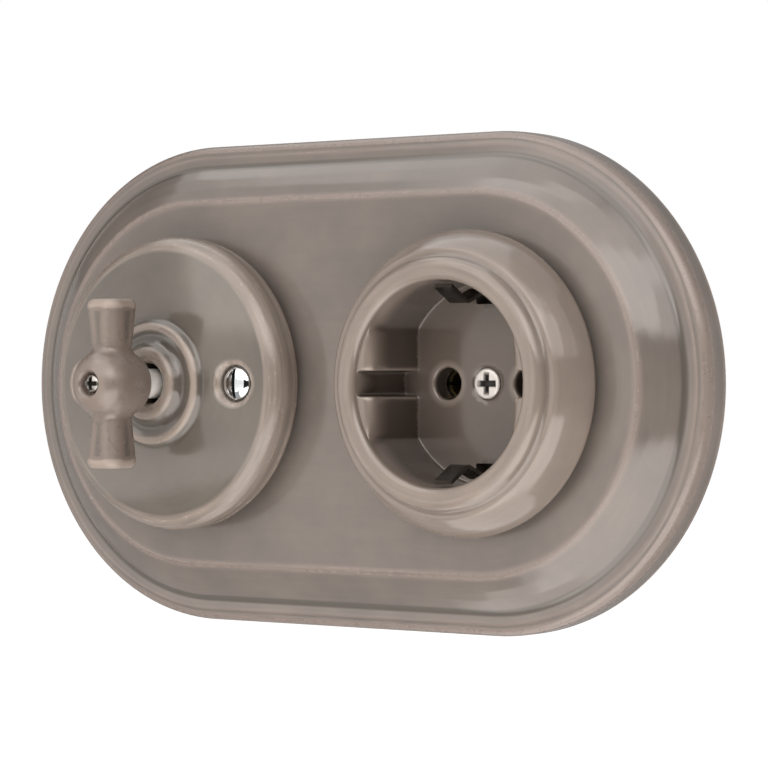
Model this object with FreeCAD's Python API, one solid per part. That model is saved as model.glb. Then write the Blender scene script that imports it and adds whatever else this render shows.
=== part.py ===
import FreeCAD, Part
import math
import os

# Two-gang porcelain wall unit: a rotary switch on the left and an earthed socket outlet on the right.
# It is drawn lying on its back, X to the right, Y up the wall and Z out of the wall, and upright() then
# turns every piece so that Z is up and the front faces -Y. Heights are measured out of the wall, in mm.

# Fits between pieces
thread_gap = 0.05
seat_gap = 0.2
turning_gap = 0.15
cover_lift = 0.4
cut_margin = 1.0

# Porcelain frame
gang_pitch = 71.0
frame_radius = 49.0
shoulder_height = 6.6
shoulder_round = 2.0
terrace_width = 4.6
terrace_rise = 0.4
valley_round = 1.0
ovolo_width = 7.4
ovolo_bow = 0.4
platform_height = 12.6
platform_round = 2.4
frame_rim = 5.2
frame_wall = 4.8
hollow_side = 2.4
hollow_inset = 0.7
rim_round = 0.4
mechanism_room = 2.5
cup_room = 1.85

# Round covers
cover_foot_inset = 1.8
cover_foot_height = 2.5
cover_foot_round = 3.0

# Switch cover
switch_cover_radius = 29.8
switch_cover_height = 8.9
switch_edge_round = 3.8
cavity_inset = 0.2
cover_cavity_height = 4.9
cavity_round = 2.0
dome_rise = 3.0
dome_bow = 0.35
bead_radius = 11.8
bead_width = 2.2
bead_height = 1.7
bead_round = 1.2
bead_foot_round = 0.6
gutter_radius = 8.6
gutter_drop = 1.1
gutter_round = 2.0
collar_radius = 6.9
collar_height = 3.1
collar_round = 1.2
spindle_window = 4.1
window_round = 1.9
cover_screw_radius = 1.5
cover_screw_head_radius = 3.4
cover_screw_head_rise = 1.5
cover_screw_length = 13.0
screw_seat_depth = 1.6
screw_seat_flare = 1.8
screw_slot_width = 0.9

# Turn knob
knob_back = 29.8
knob_front = 44.4
hub_radius = 6.95
hub_end_radius = 5.3
hub_round = 2.4
wing_reach = 16.9
wing_height = 37.2
wing_end_width = 8.8
wing_root_width = 7.4
wing_edge_round = 3.0
wing_end_round = 1.6
knob_screw_seat = 2.0
recess_round = 0.5
recess_flare = 0.8
knob_screw_head_radius = 1.75
knob_screw_head_rise = 1.2
knob_screw_radius = 1.2
knob_screw_length = 8.0

# Spindle and what turns with it
spindle_radius = 3.0
spindle_square = 4.0
spindle_square_length = 8.0
square_round = 0.3
journal_radius = 2.0
journal_length = 3.0
cam_flat = 5.6
cam_lobe = 7.0
cam_thickness = 4.0
cam_sleeve_radius = 4.5
bridge_room = 1.0
bridge_width = 5.0
bridge_thickness = 0.8
clip_radius = 4.6
clip_thickness = 0.7
clip_groove = 0.5

# Support rings behind the frame
ring_radius = 35.0
ring_thickness = 1.2
ring_lip = 1.2
box_screw_pitch = 60.0
box_slot_width = 3.6
box_slot_length = 8.0
box_hole_radius = 2.0
switch_aperture_inset = 3.4
socket_aperture_inset = 4.5
pillar_inset = 2.5
pillar_radius = 2.6
pillar_spigot_radius = 1.9

# Mechanism bodies in the wall box
body_radius = 22.5
body_depth = 20.0
body_edge = 1.0
body_back_step = 2.4
body_back_length = 6.0
body_screw_inset = 2.3
body_screw_angle = 45.0
wire_hole_radius = 1.9
small_screw_radius = 1.45
small_screw_length = 9.0
small_head_radius = 2.3
small_head_rise = 1.5
small_head_round = 0.4

# Switch mechanism
cavity_ledge = 1.4
bearing_thickness = 1.6
bearing_width = 12.0
bearing_screw_inset = 5.6
cam_start = 1.2
spring_thickness = 0.4
spring_anchor = 1.2
bridge_depth = 11.5
contact_gap = 0.2
blade_width = 5.0
blade_thickness = 0.8
blade_lap = 3.5
clamp_inset = 3.5
clamp_length = 5.0
clamp_width = 7.0
clamp_height = 7.0

# Socket cover
socket_cover_radius = 29.8
socket_step_radius = 24.9
socket_step_height = 10.5
socket_ledge = 0.8
ledge_round = 0.6
socket_wall_bow = 0.6
lip_height = 12.7
lip_outer_slope = 0.6
lip_outer_round = 1.8
lip_round = 1.2
step_round = 0.3
well_radius = 19.75
well_depth = 17.3
well_wall = 3.4
floor_thickness = 4.0
floor_round = 0.6
cup_round = 1.0
guide_flat = 16.5
guide_round = 1.8
guide_groove = 4.9
pin_pitch = 19.0
pin_hole_radius = 3.1
pin_hole_round = 0.6
centre_screw_radius = 1.75
centre_screw_head_radius = 3.0
centre_screw_rise = 0.3
centre_screw_length = 13.0

# Earth strap
strap_width = 4.0
strap_thickness = 0.8
strap_bend = 1.0
strap_eye_radius = 5.0
clip_root_gap = 1.35
clip_neck = 3.0
clip_contact_gap = 4.45
clip_contact_height = 9.0
clip_tip_gap = 0.75
clip_tip_height = 14.2
clip_slot_room = 0.6
earth_screw_reach = 11.5
earth_pad_width = 7.0
pad_round = 1.0

# Socket body
boss_width = 9.0
bush_radius = 3.0
bush_flange_radius = 4.5
bush_flange_rise = 0.8
bush_length = 10.0
sleeve_radius = 3.0
sleeve_wall = 0.6
sleeve_slit = 0.7
sleeve_slit_length = 9.0
sleeve_room = 0.4
sleeve_head = 3.2
tab_depth = 13.0
tab_height = 6.0
tab_width = 7.0
tab_length = 8.3
tab_screw_offset = 5.7

# Places that follow from the sizes
switch_x = -gang_pitch / 2
socket_x = gang_pitch / 2
terrace_radius = frame_radius - terrace_width
terrace_height = shoulder_height + terrace_rise
platform_radius = terrace_radius - ovolo_width
roof_height = platform_height - frame_wall
switch_opening = body_radius + mechanism_room
cover_cavity_radius = switch_opening - cavity_inset
cover_screw_reach = body_radius - pillar_inset
switch_aperture = cover_screw_reach - switch_aperture_inset
bearing_screw_reach = cover_screw_reach - bearing_screw_inset
switch_cavity_radius = bearing_screw_reach - cavity_ledge
bridge_reach = switch_cavity_radius - bridge_room
blade_start = bridge_reach - blade_lap
body_back_radius = body_radius - body_back_step
body_screw_reach = body_radius - body_screw_inset
socket_aperture = body_radius - socket_aperture_inset
face_height = platform_height + switch_cover_height
cavity_roof = platform_height + cover_cavity_height
bead_foot = bead_radius + bead_width / 2
dome_height = face_height + dome_rise
collar_top = dome_height + collar_height
screw_seat_radius = cover_screw_head_radius + seat_gap
dome_run = switch_cover_radius - bead_foot
screw_run = switch_cover_radius - cover_screw_reach
screw_rim = face_height + dome_rise * screw_run / dome_run + dome_bow
screw_seat = screw_rim - screw_seat_depth
knob_seat = knob_front - knob_screw_seat
spring_line = cam_flat + turning_gap + spring_thickness / 2
cam_end = cam_start + cam_thickness
bridge_end = bridge_depth + bridge_thickness
blade_top = bridge_end + contact_gap
blade_bottom = blade_top + blade_thickness
clip_end = bridge_end + clip_thickness
cavity_depth = clip_end + 2 * seat_gap + journal_length / 2
clamp_top = blade_bottom - clamp_height
clamp_end = body_radius - clamp_inset
clamp_start = clamp_end - clamp_length
clamp_middle = clamp_start + clamp_length / 2
lip_top = platform_height + lip_height
well_floor = lip_top - well_depth
cup_radius = well_radius + well_wall
socket_opening = cup_radius + cup_room
cup_bottom = well_floor - floor_thickness
strap_top = ring_thickness + strap_thickness
clip_root = well_radius - clip_root_gap
clip_contact = well_radius - clip_contact_gap
clip_tip = well_radius - clip_tip_gap
pin_reach = pin_pitch / 2
tab_top = tab_height - tab_depth
tab_reach = pin_reach + tab_length
tab_screw_reach = pin_reach + tab_screw_offset
tab_wire_height = tab_height / 2 - tab_depth
clamp_wire_height = wire_hole_radius + blade_thickness - blade_bottom
through = body_depth + knob_front
sink = body_depth


def across(u, v):
    """A point of a turned outline: radius u, height v."""
    return FreeCAD.Vector(u, 0, v)


def plan(u, v):
    """A point of an outline seen from the front."""
    return FreeCAD.Vector(u, v, 0)


def side(u, v):
    """A point of an outline seen from the side: u up the wall, height v."""
    return FreeCAD.Vector(0, u, v)


def rounded_wire(corners, place, closed=True):
    """Wire through corner points (u, v) or (u, v, radius), each rounded as far as its sides allow."""
    points = [place(c[0], c[1]) for c in corners]
    count = len(points)
    reach = [0.0] * count
    turns = [0.0] * count
    for i, corner in enumerate(corners):
        inner = closed or 0 < i < count - 1
        if len(corner) == 3 and inner:
            back = points[i - 1] - points[i]
            ahead = points[(i + 1) % count] - points[i]
            turns[i] = math.pi - back.getAngle(ahead)
            reach[i] = corner[2] * math.tan(turns[i] / 2)
    limit = list(reach)
    for i in range(count):
        j = (i + 1) % count
        room = points[i].distanceToPoint(points[j])
        limit[i] = min(limit[i], max(room - reach[j], room / 2))
        limit[j] = min(limit[j], max(room - reach[i], room / 2))
    edges = []
    starts = []
    ends = []
    for i in range(count):
        length = limit[i]
        back = points[i - 1] - points[i]
        ahead = points[(i + 1) % count] - points[i]
        if length > 1e-6:
            back.normalize()
            ahead.normalize()
            radius = length / math.tan(turns[i] / 2)
            bisector = back + ahead
            bisector.normalize()
            middle = points[i] + bisector * (radius / math.cos(turns[i] / 2) - radius)
            starts.append(points[i] + back * length)
            ends.append(points[i] + ahead * length)
            edges.append(Part.Arc(starts[i], middle, ends[i]).toShape())
        else:
            starts.append(points[i])
            ends.append(points[i])
            edges.append(None)
    ordered = []
    for i in range(count):
        if edges[i] is not None:
            ordered.append(edges[i])
        j = (i + 1) % count
        if (closed or j > 0) and ends[i].distanceToPoint(starts[j]) > 1e-6:
            ordered.append(Part.LineSegment(ends[i], starts[j]).toShape())
    return Part.Wire(ordered)


def bowed(start, end, bow):
    """Corner that, fully rounded, makes a convex curve from start to end that stands out by about bow."""
    length = math.dist(start, end)
    normal = ((start[1] - end[1]) / length, (end[0] - start[0]) / length)
    middle = ((start[0] + end[0]) / 2, (start[1] + end[1]) / 2)
    return middle[0] + 2 * bow * normal[0], middle[1] + 2 * bow * normal[1], length * length


def turned(corners, x=0.0, y=0.0):
    """Solid turned about the line out of the wall through (x, y)."""
    face = Part.Face(rounded_wire(corners, across))
    solid = face.revolve(FreeCAD.Vector(0, 0, 0), FreeCAD.Vector(0, 0, 1), 360)
    return solid.translated(FreeCAD.Vector(x, y, 0))


def stadium(corners):
    """Solid with one section all round both gangs: two half turns and the straight run between them."""
    face = Part.Face(rounded_wire(corners, across))
    axis = FreeCAD.Vector(0, 0, 1)
    centre = FreeCAD.Vector(0, 0, 0)
    right_end = face.revolve(centre, axis, 180).rotated(centre, axis, -90)
    right_end.translate(FreeCAD.Vector(socket_x, 0, 0))
    left_end = right_end.rotated(centre, axis, 180)
    upper = face.rotated(centre, axis, 90).extrude(FreeCAD.Vector(gang_pitch, 0, 0))
    upper.translate(FreeCAD.Vector(switch_x, 0, 0))
    lower = upper.rotated(centre, axis, 180)
    return right_end.multiFuse([left_end, upper, lower]).removeSplitter()


def peg(x, y, low, high, radius):
    """Round bar along the line out of the wall."""
    return Part.makeCylinder(radius, high - low, FreeCAD.Vector(x, y, low))


def block(x_low, x_high, y_low, y_high, low, high):
    """Box between the given limits."""
    corner = FreeCAD.Vector(x_low, y_low, low)
    return Part.makeBox(x_high - x_low, y_high - y_low, high - low, corner)


def slab(corners, low, high):
    """Plate with the given outline seen from the front."""
    face = Part.Face(rounded_wire(corners, plan))
    return face.translated(FreeCAD.Vector(0, 0, low)).extrude(FreeCAD.Vector(0, 0, high - low))


def rectangle(half_width, half_height, rounding):
    """Corners of a rounded rectangle about the middle."""
    signs = ((1, 1), (-1, 1), (-1, -1), (1, -1))
    return [(a * half_width, b * half_height, rounding) for a, b in signs]


def polar(x, reach, angle):
    """Point at a distance and angle from a gang's axis."""
    turn = math.radians(angle)
    return x + reach * math.cos(turn), reach * math.sin(turn)


def flat_screw(x, y, seat):
    """Small slotted cheese-head screw whose head rests at the height seat."""
    top = seat + small_head_rise
    head = turned([(0, seat), (small_head_radius, seat), (small_head_radius, top, small_head_round),
                   (0, top)], x, y)
    shank = peg(x, y, seat - small_screw_length, seat, small_screw_radius)
    half_slot = screw_slot_width / 2
    slot = block(x - small_head_radius, x + small_head_radius, y - half_slot, y + half_slot,
                 seat + small_head_rise / 2, seat + 2 * small_head_rise)
    return head.fuse(shank).cut(slot).removeSplitter()


def screw_hole(x, y, seat):
    """Threaded hole that a small screw goes into."""
    depth = small_screw_length + seat_gap
    return peg(x, y, seat - depth, seat + cut_margin, small_screw_radius + thread_gap)


def double_frame():
    """Porcelain frame: rounded shoulder, terrace and ovolo up to the platform, hollow behind."""
    terrace_end = (terrace_radius, terrace_height)
    platform_edge = (platform_radius, platform_height)
    outside = stadium([
        (0, 0), (frame_radius, 0, rim_round), (frame_radius, shoulder_height, shoulder_round),
        terrace_end + (valley_round,), bowed(platform_edge, terrace_end, ovolo_bow),
        platform_edge + (platform_round,), (0, platform_height)])
    hollow_radius = frame_radius - frame_rim
    hollow_roof_radius = platform_radius - hollow_inset
    hollow = stadium([
        (0, -cut_margin), (hollow_radius, -cut_margin), (hollow_radius, hollow_side, frame_wall / 2),
        (hollow_roof_radius, roof_height, frame_wall / 2), (0, roof_height)])
    frame = outside.cut(hollow)
    frame = frame.cut(peg(switch_x, 0, 0, through, switch_opening))
    return frame.cut(peg(socket_x, 0, 0, through, socket_opening))


def switch_cover():
    """Domed cover with a bead and a collar about the spindle and a dished seat for each screw."""
    foot = switch_cover_radius - cover_foot_inset
    bead_crest = dome_height + bead_height
    window = spindle_window
    outside = [
        (window, cavity_roof), (cover_cavity_radius, cavity_roof, cavity_round),
        (cover_cavity_radius, platform_height), (foot, platform_height),
        (switch_cover_radius, platform_height + cover_foot_height, cover_foot_round),
        (switch_cover_radius, face_height, switch_edge_round),
        bowed((bead_foot, dome_height), (switch_cover_radius, face_height), dome_bow),
        (bead_foot, dome_height, bead_foot_round), (bead_radius, bead_crest, bead_round),
        (gutter_radius, bead_crest - gutter_drop, gutter_round),
        (collar_radius, collar_top, collar_round), (window, collar_top, window_round)]
    cover = turned(outside, switch_x)
    flare = screw_seat_radius + screw_seat_flare
    for sign in (-1, 1):
        x = switch_x + sign * cover_screw_reach
        seat = turned([(0, screw_seat), (screw_seat_radius, screw_seat),
                       (screw_seat_radius, screw_rim - screw_seat_flare / 3, screw_seat_flare),
                       (flare, screw_rim), (flare + screw_seat_flare, through), (0, through)], x)
        cover = cover.cut(seat).cut(peg(x, 0, 0, through, cover_screw_radius + seat_gap))
    return cover


def cover_screws():
    """Two domed slotted screws that hold the switch cover."""
    screws = []
    dome = cover_screw_head_rise
    half_slot = screw_slot_width / 2
    for sign in (-1, 1):
        x = switch_x + sign * cover_screw_reach
        radius = cover_screw_head_radius
        head = turned([(0, screw_seat), (radius, screw_seat), (radius, screw_seat + dome, radius),
                       (0, screw_seat + dome)], x)
        shank = peg(x, 0, screw_seat - cover_screw_length, screw_seat, cover_screw_radius)
        slot = block(x - half_slot, x + half_slot, -radius, radius,
                     screw_seat + dome / 2, screw_seat + 2 * dome)
        screws.append(head.fuse(shank).cut(slot).removeSplitter())
    return Part.makeCompound(screws)


def cover_pillars():
    """Threaded pillars on the support ring, one for each cover screw."""
    pillars = []
    top = cavity_roof - cover_lift
    for sign in (-1, 1):
        x = switch_x + sign * cover_screw_reach
        pillar = peg(x, 0, ring_thickness, top, pillar_radius)
        pillar = pillar.fuse(peg(x, 0, 0, ring_thickness, pillar_spigot_radius))
        thread = peg(x, 0, screw_seat - cover_screw_length - seat_gap, top, cover_screw_radius + thread_gap)
        pillars.append(pillar.cut(thread))
    return Part.makeCompound(pillars)


def wing(sign):
    """One bar wing of the knob, wider at its rounded end than at the hub."""
    root = wing_root_width / 2
    end = wing_end_width / 2
    sections = []
    for half, y in ((root, 0.0), (root, hub_radius), (end, wing_reach)):
        wire = rounded_wire(rectangle(half, half, wing_edge_round), across)
        sections.append(wire.translated(FreeCAD.Vector(0, sign * y, wing_height)))
    bar = Part.makeLoft(sections, True, True)
    tip = [e for e in bar.Edges if all(abs(abs(v.Y) - wing_reach) < 1e-6 for v in e.Vertexes)]
    return bar.makeFillet(wing_end_round, tip)


def knob():
    """Porcelain turn knob: barrel-shaped hub with two wings, screwed to the square of the spindle."""
    middle = (knob_back + knob_front) / 2
    quarter = (knob_front - knob_back) / 4
    hub = turned([
        (0, knob_back), (hub_end_radius, knob_back, hub_round), (hub_radius, middle - quarter, hub_radius),
        (hub_radius, middle + quarter, hub_radius), (hub_end_radius, knob_front, hub_round), (0, knob_front)])
    body = hub.fuse(wing(1)).fuse(wing(-1))
    socket = spindle_square / 2 + thread_gap
    socket_end = knob_back + spindle_square_length + seat_gap
    body = body.cut(slab(rectangle(socket, socket, square_round), knob_back - cut_margin, socket_end))
    body = body.cut(peg(0, 0, knob_back, through, knob_screw_radius + seat_gap))
    recess = knob_screw_head_radius + seat_gap
    flare = recess + recess_flare
    sunk = turned([(0, knob_seat), (recess, knob_seat), (recess, knob_front, recess_round),
                   (flare, knob_front), (flare, through), (0, through)])
    return body.cut(sunk).removeSplitter().translated(FreeCAD.Vector(switch_x, 0, 0))


def knob_screw():
    """Pan-head screw with a cross recess, sunk in the hub and threaded into the spindle."""
    top = knob_seat + knob_screw_head_rise
    head = turned([(0, knob_seat), (knob_screw_head_radius, knob_seat),
                   (knob_screw_head_radius, top, knob_screw_head_rise), (0, top)], switch_x)
    shank = peg(switch_x, 0, knob_seat - knob_screw_length, knob_seat, knob_screw_radius)
    return cross_recess(head.fuse(shank), switch_x, top, knob_screw_head_radius)


def cross_recess(screw, x, top, head_radius):
    """Cut a tapered cross in the head of a screw."""
    arm = head_radius * 0.6
    half = head_radius * 0.14
    depth = head_radius * 0.45
    wide = rounded_wire(rectangle(arm, half, 0), plan).translated(FreeCAD.Vector(0, 0, top + seat_gap))
    deep = rounded_wire(rectangle(arm / 2, half, 0), plan).translated(FreeCAD.Vector(0, 0, top - depth))
    blade = Part.makeLoft([wide, deep], True, True)
    for angle in (0, 90):
        arms = blade.rotated(FreeCAD.Vector(0, 0, 0), FreeCAD.Vector(0, 0, 1), angle)
        screw = screw.cut(arms.translated(FreeCAD.Vector(x, 0, 0)))
    return screw


def spindle():
    """White ceramic spindle: square end in the knob, round shaft, clip groove and lower journal."""
    shaft = turned([
        (0, -cavity_depth - journal_length), (journal_radius, -cavity_depth - journal_length),
        (journal_radius, -clip_end - 2 * seat_gap), (spindle_radius, -clip_end - 2 * seat_gap),
        (spindle_radius, -clip_end), (spindle_radius - clip_groove, -clip_end),
        (spindle_radius - clip_groove, -bridge_end), (spindle_radius, -bridge_end),
        (spindle_radius, knob_back), (0, knob_back)])
    half = spindle_square / 2
    square = slab(rectangle(half, half, square_round), knob_back, knob_back + spindle_square_length)
    shaft = shaft.fuse(square)
    thread_low = knob_seat - knob_screw_length - seat_gap
    shaft = shaft.cut(peg(0, 0, thread_low, through, knob_screw_radius + thread_gap))
    return shaft.translated(FreeCAD.Vector(switch_x, 0, 0))


def cam():
    """Detent cam with four lobes, and the sleeve that spaces the contact bridge from it."""
    lobes = slab(rectangle(cam_flat, cam_flat, cam_flat / 3), -cam_end, -cam_start)
    lobes = lobes.common(peg(0, 0, -cam_end, -cam_start, cam_lobe))
    body = lobes.fuse(peg(0, 0, -bridge_depth, -cam_end, cam_sleeve_radius))
    body = body.cut(peg(0, 0, -sink, 0, spindle_radius + thread_gap))
    return body.translated(FreeCAD.Vector(switch_x, 0, 0))


def contact_bridge():
    """Brass strip under the cam that joins both fixed contacts when the knob stands upright."""
    strip = slab(rectangle(bridge_width / 2, bridge_reach, bridge_width / 2), -bridge_end, -bridge_depth)
    strip = strip.fuse(peg(0, 0, -bridge_end, -bridge_depth, clip_radius))
    strip = strip.cut(peg(0, 0, -sink, 0, spindle_radius + thread_gap))
    return strip.removeSplitter().translated(FreeCAD.Vector(switch_x, 0, 0))


def retaining_clip():
    """Open spring clip in the groove of the spindle, below the contact bridge."""
    inner = spindle_radius - clip_groove + thread_gap
    ring = peg(0, 0, -clip_end, -bridge_end, clip_radius).cut(peg(0, 0, -sink, 0, inner))
    mouth = inner * 0.8
    ring = ring.cut(block(0, 2 * clip_radius, -mouth, mouth, -sink, 0))
    return ring.translated(FreeCAD.Vector(switch_x, 0, 0))


def support_ring(x, aperture, holes):
    """Pressed steel ring with an upturned lip, slots and holes for wall-box screws and its own holes."""
    ring = turned([
        (aperture, 0), (ring_radius, 0, ring_thickness), (ring_radius, ring_thickness + ring_lip),
        (ring_radius - ring_thickness, ring_thickness + ring_lip),
        (ring_radius - ring_thickness, ring_thickness), (aperture, ring_thickness)], x)
    half_width = box_slot_width / 2
    slot = slab(rectangle(half_width, box_slot_length / 2, half_width), -cut_margin, through)
    for sign in (-1, 1):
        reach = sign * box_screw_pitch / 2
        ring = ring.cut(slot.translated(FreeCAD.Vector(x + reach, 0, 0)))
        ring = ring.cut(peg(x, reach, -cut_margin, through, box_hole_radius))
    for hole_x, hole_y, radius in holes:
        ring = ring.cut(peg(hole_x, hole_y, -cut_margin, through, radius))
    return ring


def body_screw_points(x):
    """Places of the two screws that hold a mechanism body to its ring."""
    return [polar(x, body_screw_reach, body_screw_angle + half_turn) for half_turn in (0, 180)]


def switch_ring():
    """Support ring of the switch, with holes for its pillars and for the screws of the body."""
    holes = [(px, py, small_screw_radius + seat_gap) for px, py in body_screw_points(switch_x)]
    holes += [(switch_x + s * cover_screw_reach, 0, pillar_spigot_radius + thread_gap) for s in (-1, 1)]
    return support_ring(switch_x, switch_aperture, holes)


def socket_ring():
    """Support ring of the socket outlet."""
    holes = [(px, py, small_screw_radius + seat_gap) for px, py in body_screw_points(socket_x)]
    return support_ring(socket_x, socket_aperture, holes)


def body_screws(x):
    """The two screws that hold a mechanism body to its ring."""
    return Part.makeCompound([flat_screw(px, py, ring_thickness) for px, py in body_screw_points(x)])


def mechanism_body(x):
    """Round ceramic body behind a support ring, stepped in at its back, with the holes of its screws."""
    step = body_back_length - body_depth
    body = turned([
        (0, -body_depth), (body_back_radius, -body_depth, body_edge), (body_back_radius, step, body_edge),
        (body_radius, step, body_edge), (body_radius, 0), (0, 0)], x)
    for px, py in body_screw_points(x):
        body = body.cut(screw_hole(px, py, ring_thickness))
    return body


def switch_base():
    """Ceramic body of the switch with its cavity, contact channels, spring slots and wire holes."""
    base = mechanism_body(switch_x)
    base = base.cut(peg(switch_x, 0, -cavity_depth, cut_margin, switch_cavity_radius))
    journal_end = -cavity_depth - journal_length - seat_gap
    base = base.cut(peg(switch_x, 0, journal_end, cut_margin, journal_radius + turning_gap))
    channel = clamp_width / 2 + seat_gap
    reach = clamp_end + seat_gap
    base = base.cut(block(switch_x - channel, switch_x + channel, -reach, reach, -blade_bottom, cut_margin))
    wire_start = FreeCAD.Vector(switch_x, -body_radius, clamp_wire_height)
    wire = Part.makeCylinder(wire_hole_radius, 2 * body_radius, wire_start, FreeCAD.Vector(0, 1, 0))
    base = base.cut(wire)
    slot = spring_thickness / 2 + turning_gap
    end = spring_half_length() + turning_gap
    for sign in (-1, 1):
        y = sign * spring_line
        base = base.cut(block(switch_x - end, switch_x + end, y - slot, y + slot,
                              -cam_end - seat_gap, cut_margin))
        base = base.cut(screw_hole(switch_x + sign * bearing_screw_reach, 0, bearing_thickness))
    return base


def spring_half_length():
    """Half the length of a detent spring, from the chord of the cavity and the anchor in its wall."""
    return math.sqrt(switch_cavity_radius ** 2 - spring_line ** 2) + spring_anchor


def bearing_bar():
    """Bar across the cavity that carries the front bearing of the spindle."""
    end = switch_aperture - seat_gap
    half = bearing_width / 2
    bar = slab(rectangle(end, half, 0), 0, bearing_thickness)
    bar = bar.common(peg(0, 0, 0, bearing_thickness, end))
    bar = bar.cut(peg(0, 0, -cut_margin, through, spindle_radius + turning_gap))
    for sign in (-1, 1):
        x = sign * bearing_screw_reach
        bar = bar.cut(peg(x, 0, -cut_margin, through, small_screw_radius + thread_gap))
    return bar.translated(FreeCAD.Vector(switch_x, 0, 0))


def bearing_screws():
    """The two screws of the bearing bar."""
    places = [switch_x + sign * bearing_screw_reach for sign in (-1, 1)]
    return Part.makeCompound([flat_screw(x, 0, bearing_thickness) for x in places])


def detent_springs():
    """Two leaf springs that lie against flats of the cam, their ends in slots of the body."""
    half = spring_thickness / 2
    end = spring_half_length()
    leaves = []
    for sign in (-1, 1):
        y = sign * spring_line
        leaves.append(block(switch_x - end, switch_x + end, y - half, y + half, -cam_end, -cam_start))
    return Part.makeCompound(leaves)


def fixed_contact(sign):
    """Brass contact: clamp block with a wire hole, and a blade that reaches under the bridge."""
    half = clamp_width / 2
    clamp = block(-half, half, clamp_start, clamp_end, -blade_bottom, -clamp_top)
    half_blade = blade_width / 2
    blade = block(-half_blade, half_blade, blade_start, clamp_start, -blade_bottom, -blade_top)
    wire = Part.makeCylinder(wire_hole_radius - seat_gap, clamp_length,
                             FreeCAD.Vector(0, clamp_start, clamp_wire_height), FreeCAD.Vector(0, 1, 0))
    thread = peg(0, clamp_middle, clamp_wire_height, cut_margin, small_screw_radius + thread_gap)
    contact = clamp.fuse(blade).cut(wire).cut(thread)
    turn = 0 if sign > 0 else 180
    contact.rotate(FreeCAD.Vector(0, 0, 0), FreeCAD.Vector(0, 0, 1), turn)
    return contact.translated(FreeCAD.Vector(switch_x, 0, 0))


def clamp_screw(x, y, seat, length):
    """Short slotted clamp screw with its head at the height seat."""
    head = peg(x, y, seat, seat + small_head_rise, small_head_radius)
    shank = peg(x, y, seat - length, seat, small_screw_radius)
    half_slot = screw_slot_width / 2
    slot = block(x - small_head_radius, x + small_head_radius, y - half_slot, y + half_slot,
                 seat + small_head_rise / 2, seat + 2 * small_head_rise)
    return head.fuse(shank).cut(slot).removeSplitter()


def switch_terminal_screws():
    """Clamp screws of the two fixed contacts."""
    length = clamp_height / 3
    places = (clamp_middle, -clamp_middle)
    return Part.makeCompound([clamp_screw(switch_x, y, -clamp_top, length) for y in places])


def guide(sign):
    """Side guide of the well: a flat with a rounded front, parted by a groove."""
    outer = well_radius + well_wall / 2
    back = well_floor - floor_thickness / 2
    front = lip_top - guide_round
    outline = [(guide_flat, back), (outer, back), (outer, front), (guide_flat, front, guide_round)]
    face = Part.Face(rounded_wire(outline, across))
    pad = face.translated(FreeCAD.Vector(0, -well_radius, 0)).extrude(FreeCAD.Vector(0, 2 * well_radius, 0))
    pad = pad.common(peg(0, 0, back, front, outer))
    half = guide_groove / 2
    groove = block(0, well_radius, -half, half, well_floor, through)
    pad = pad.cut(groove)
    turn = 0 if sign > 0 else 180
    return pad.rotated(FreeCAD.Vector(0, 0, 0), FreeCAD.Vector(0, 0, 1), turn)


def socket_cover():
    """Porcelain cover with stepped ring and round well, side guides, pin holes and earth slots."""
    foot = (socket_cover_radius - cover_foot_inset, platform_height)
    wall_start = (socket_cover_radius, platform_height + cover_foot_height)
    step_height = platform_height + socket_step_height
    step = (socket_step_radius, step_height)
    ledge = (socket_step_radius + socket_ledge, step_height)
    lip_edge = (socket_step_radius - lip_outer_slope, lip_top)
    cover = turned([
        (0, cup_bottom), (cup_radius, cup_bottom, cup_round), (cup_radius, platform_height), foot,
        wall_start + (cover_foot_round,), bowed(ledge, wall_start, socket_wall_bow),
        ledge + (ledge_round,), step + (step_round,), lip_edge + (lip_outer_round,),
        (well_radius, lip_top, lip_round),
        (well_radius, well_floor, floor_round), (0, well_floor)])
    for sign in (-1, 1):
        cover = cover.fuse(guide(sign))
    rim = pin_hole_radius + pin_hole_round
    sunk = centre_screw_head_radius + 2 * seat_gap
    neck = centre_screw_radius + seat_gap
    for sign in (-1, 1):
        hole = turned([(0, 0), (pin_hole_radius, 0), (pin_hole_radius, well_floor, pin_hole_round),
                       (rim, well_floor), (rim, lip_top), (0, lip_top)], sign * pin_reach)
        cover = cover.cut(hole)
        half = strap_width / 2 + clip_slot_room
        near, far = sorted((sign * clip_contact, sign * (clip_root + clip_slot_room)))
        cover = cover.cut(block(-half, half, near, far, 0, well_floor + seat_gap))
    screw_hole_shape = turned([(0, 0), (neck, 0), (neck, well_floor - (sunk - neck)), (sunk, well_floor),
                               (sunk, lip_top), (0, lip_top)])
    return cover.cut(screw_hole_shape).removeSplitter().translated(FreeCAD.Vector(socket_x, 0, 0))


def centre_screw():
    """Countersunk screw with a cross recess that holds the socket cover."""
    radius = centre_screw_head_radius
    top = well_floor + centre_screw_rise
    seat = well_floor - 2 * seat_gap
    tip = well_floor - centre_screw_length
    neck = centre_screw_radius
    screw = turned([(0, tip), (neck, tip), (neck, seat - radius + neck), (radius, seat), (radius, well_floor),
                    (neck, top, radius), (0, top)], socket_x)
    return cross_recess(screw, socket_x, top, radius)


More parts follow.
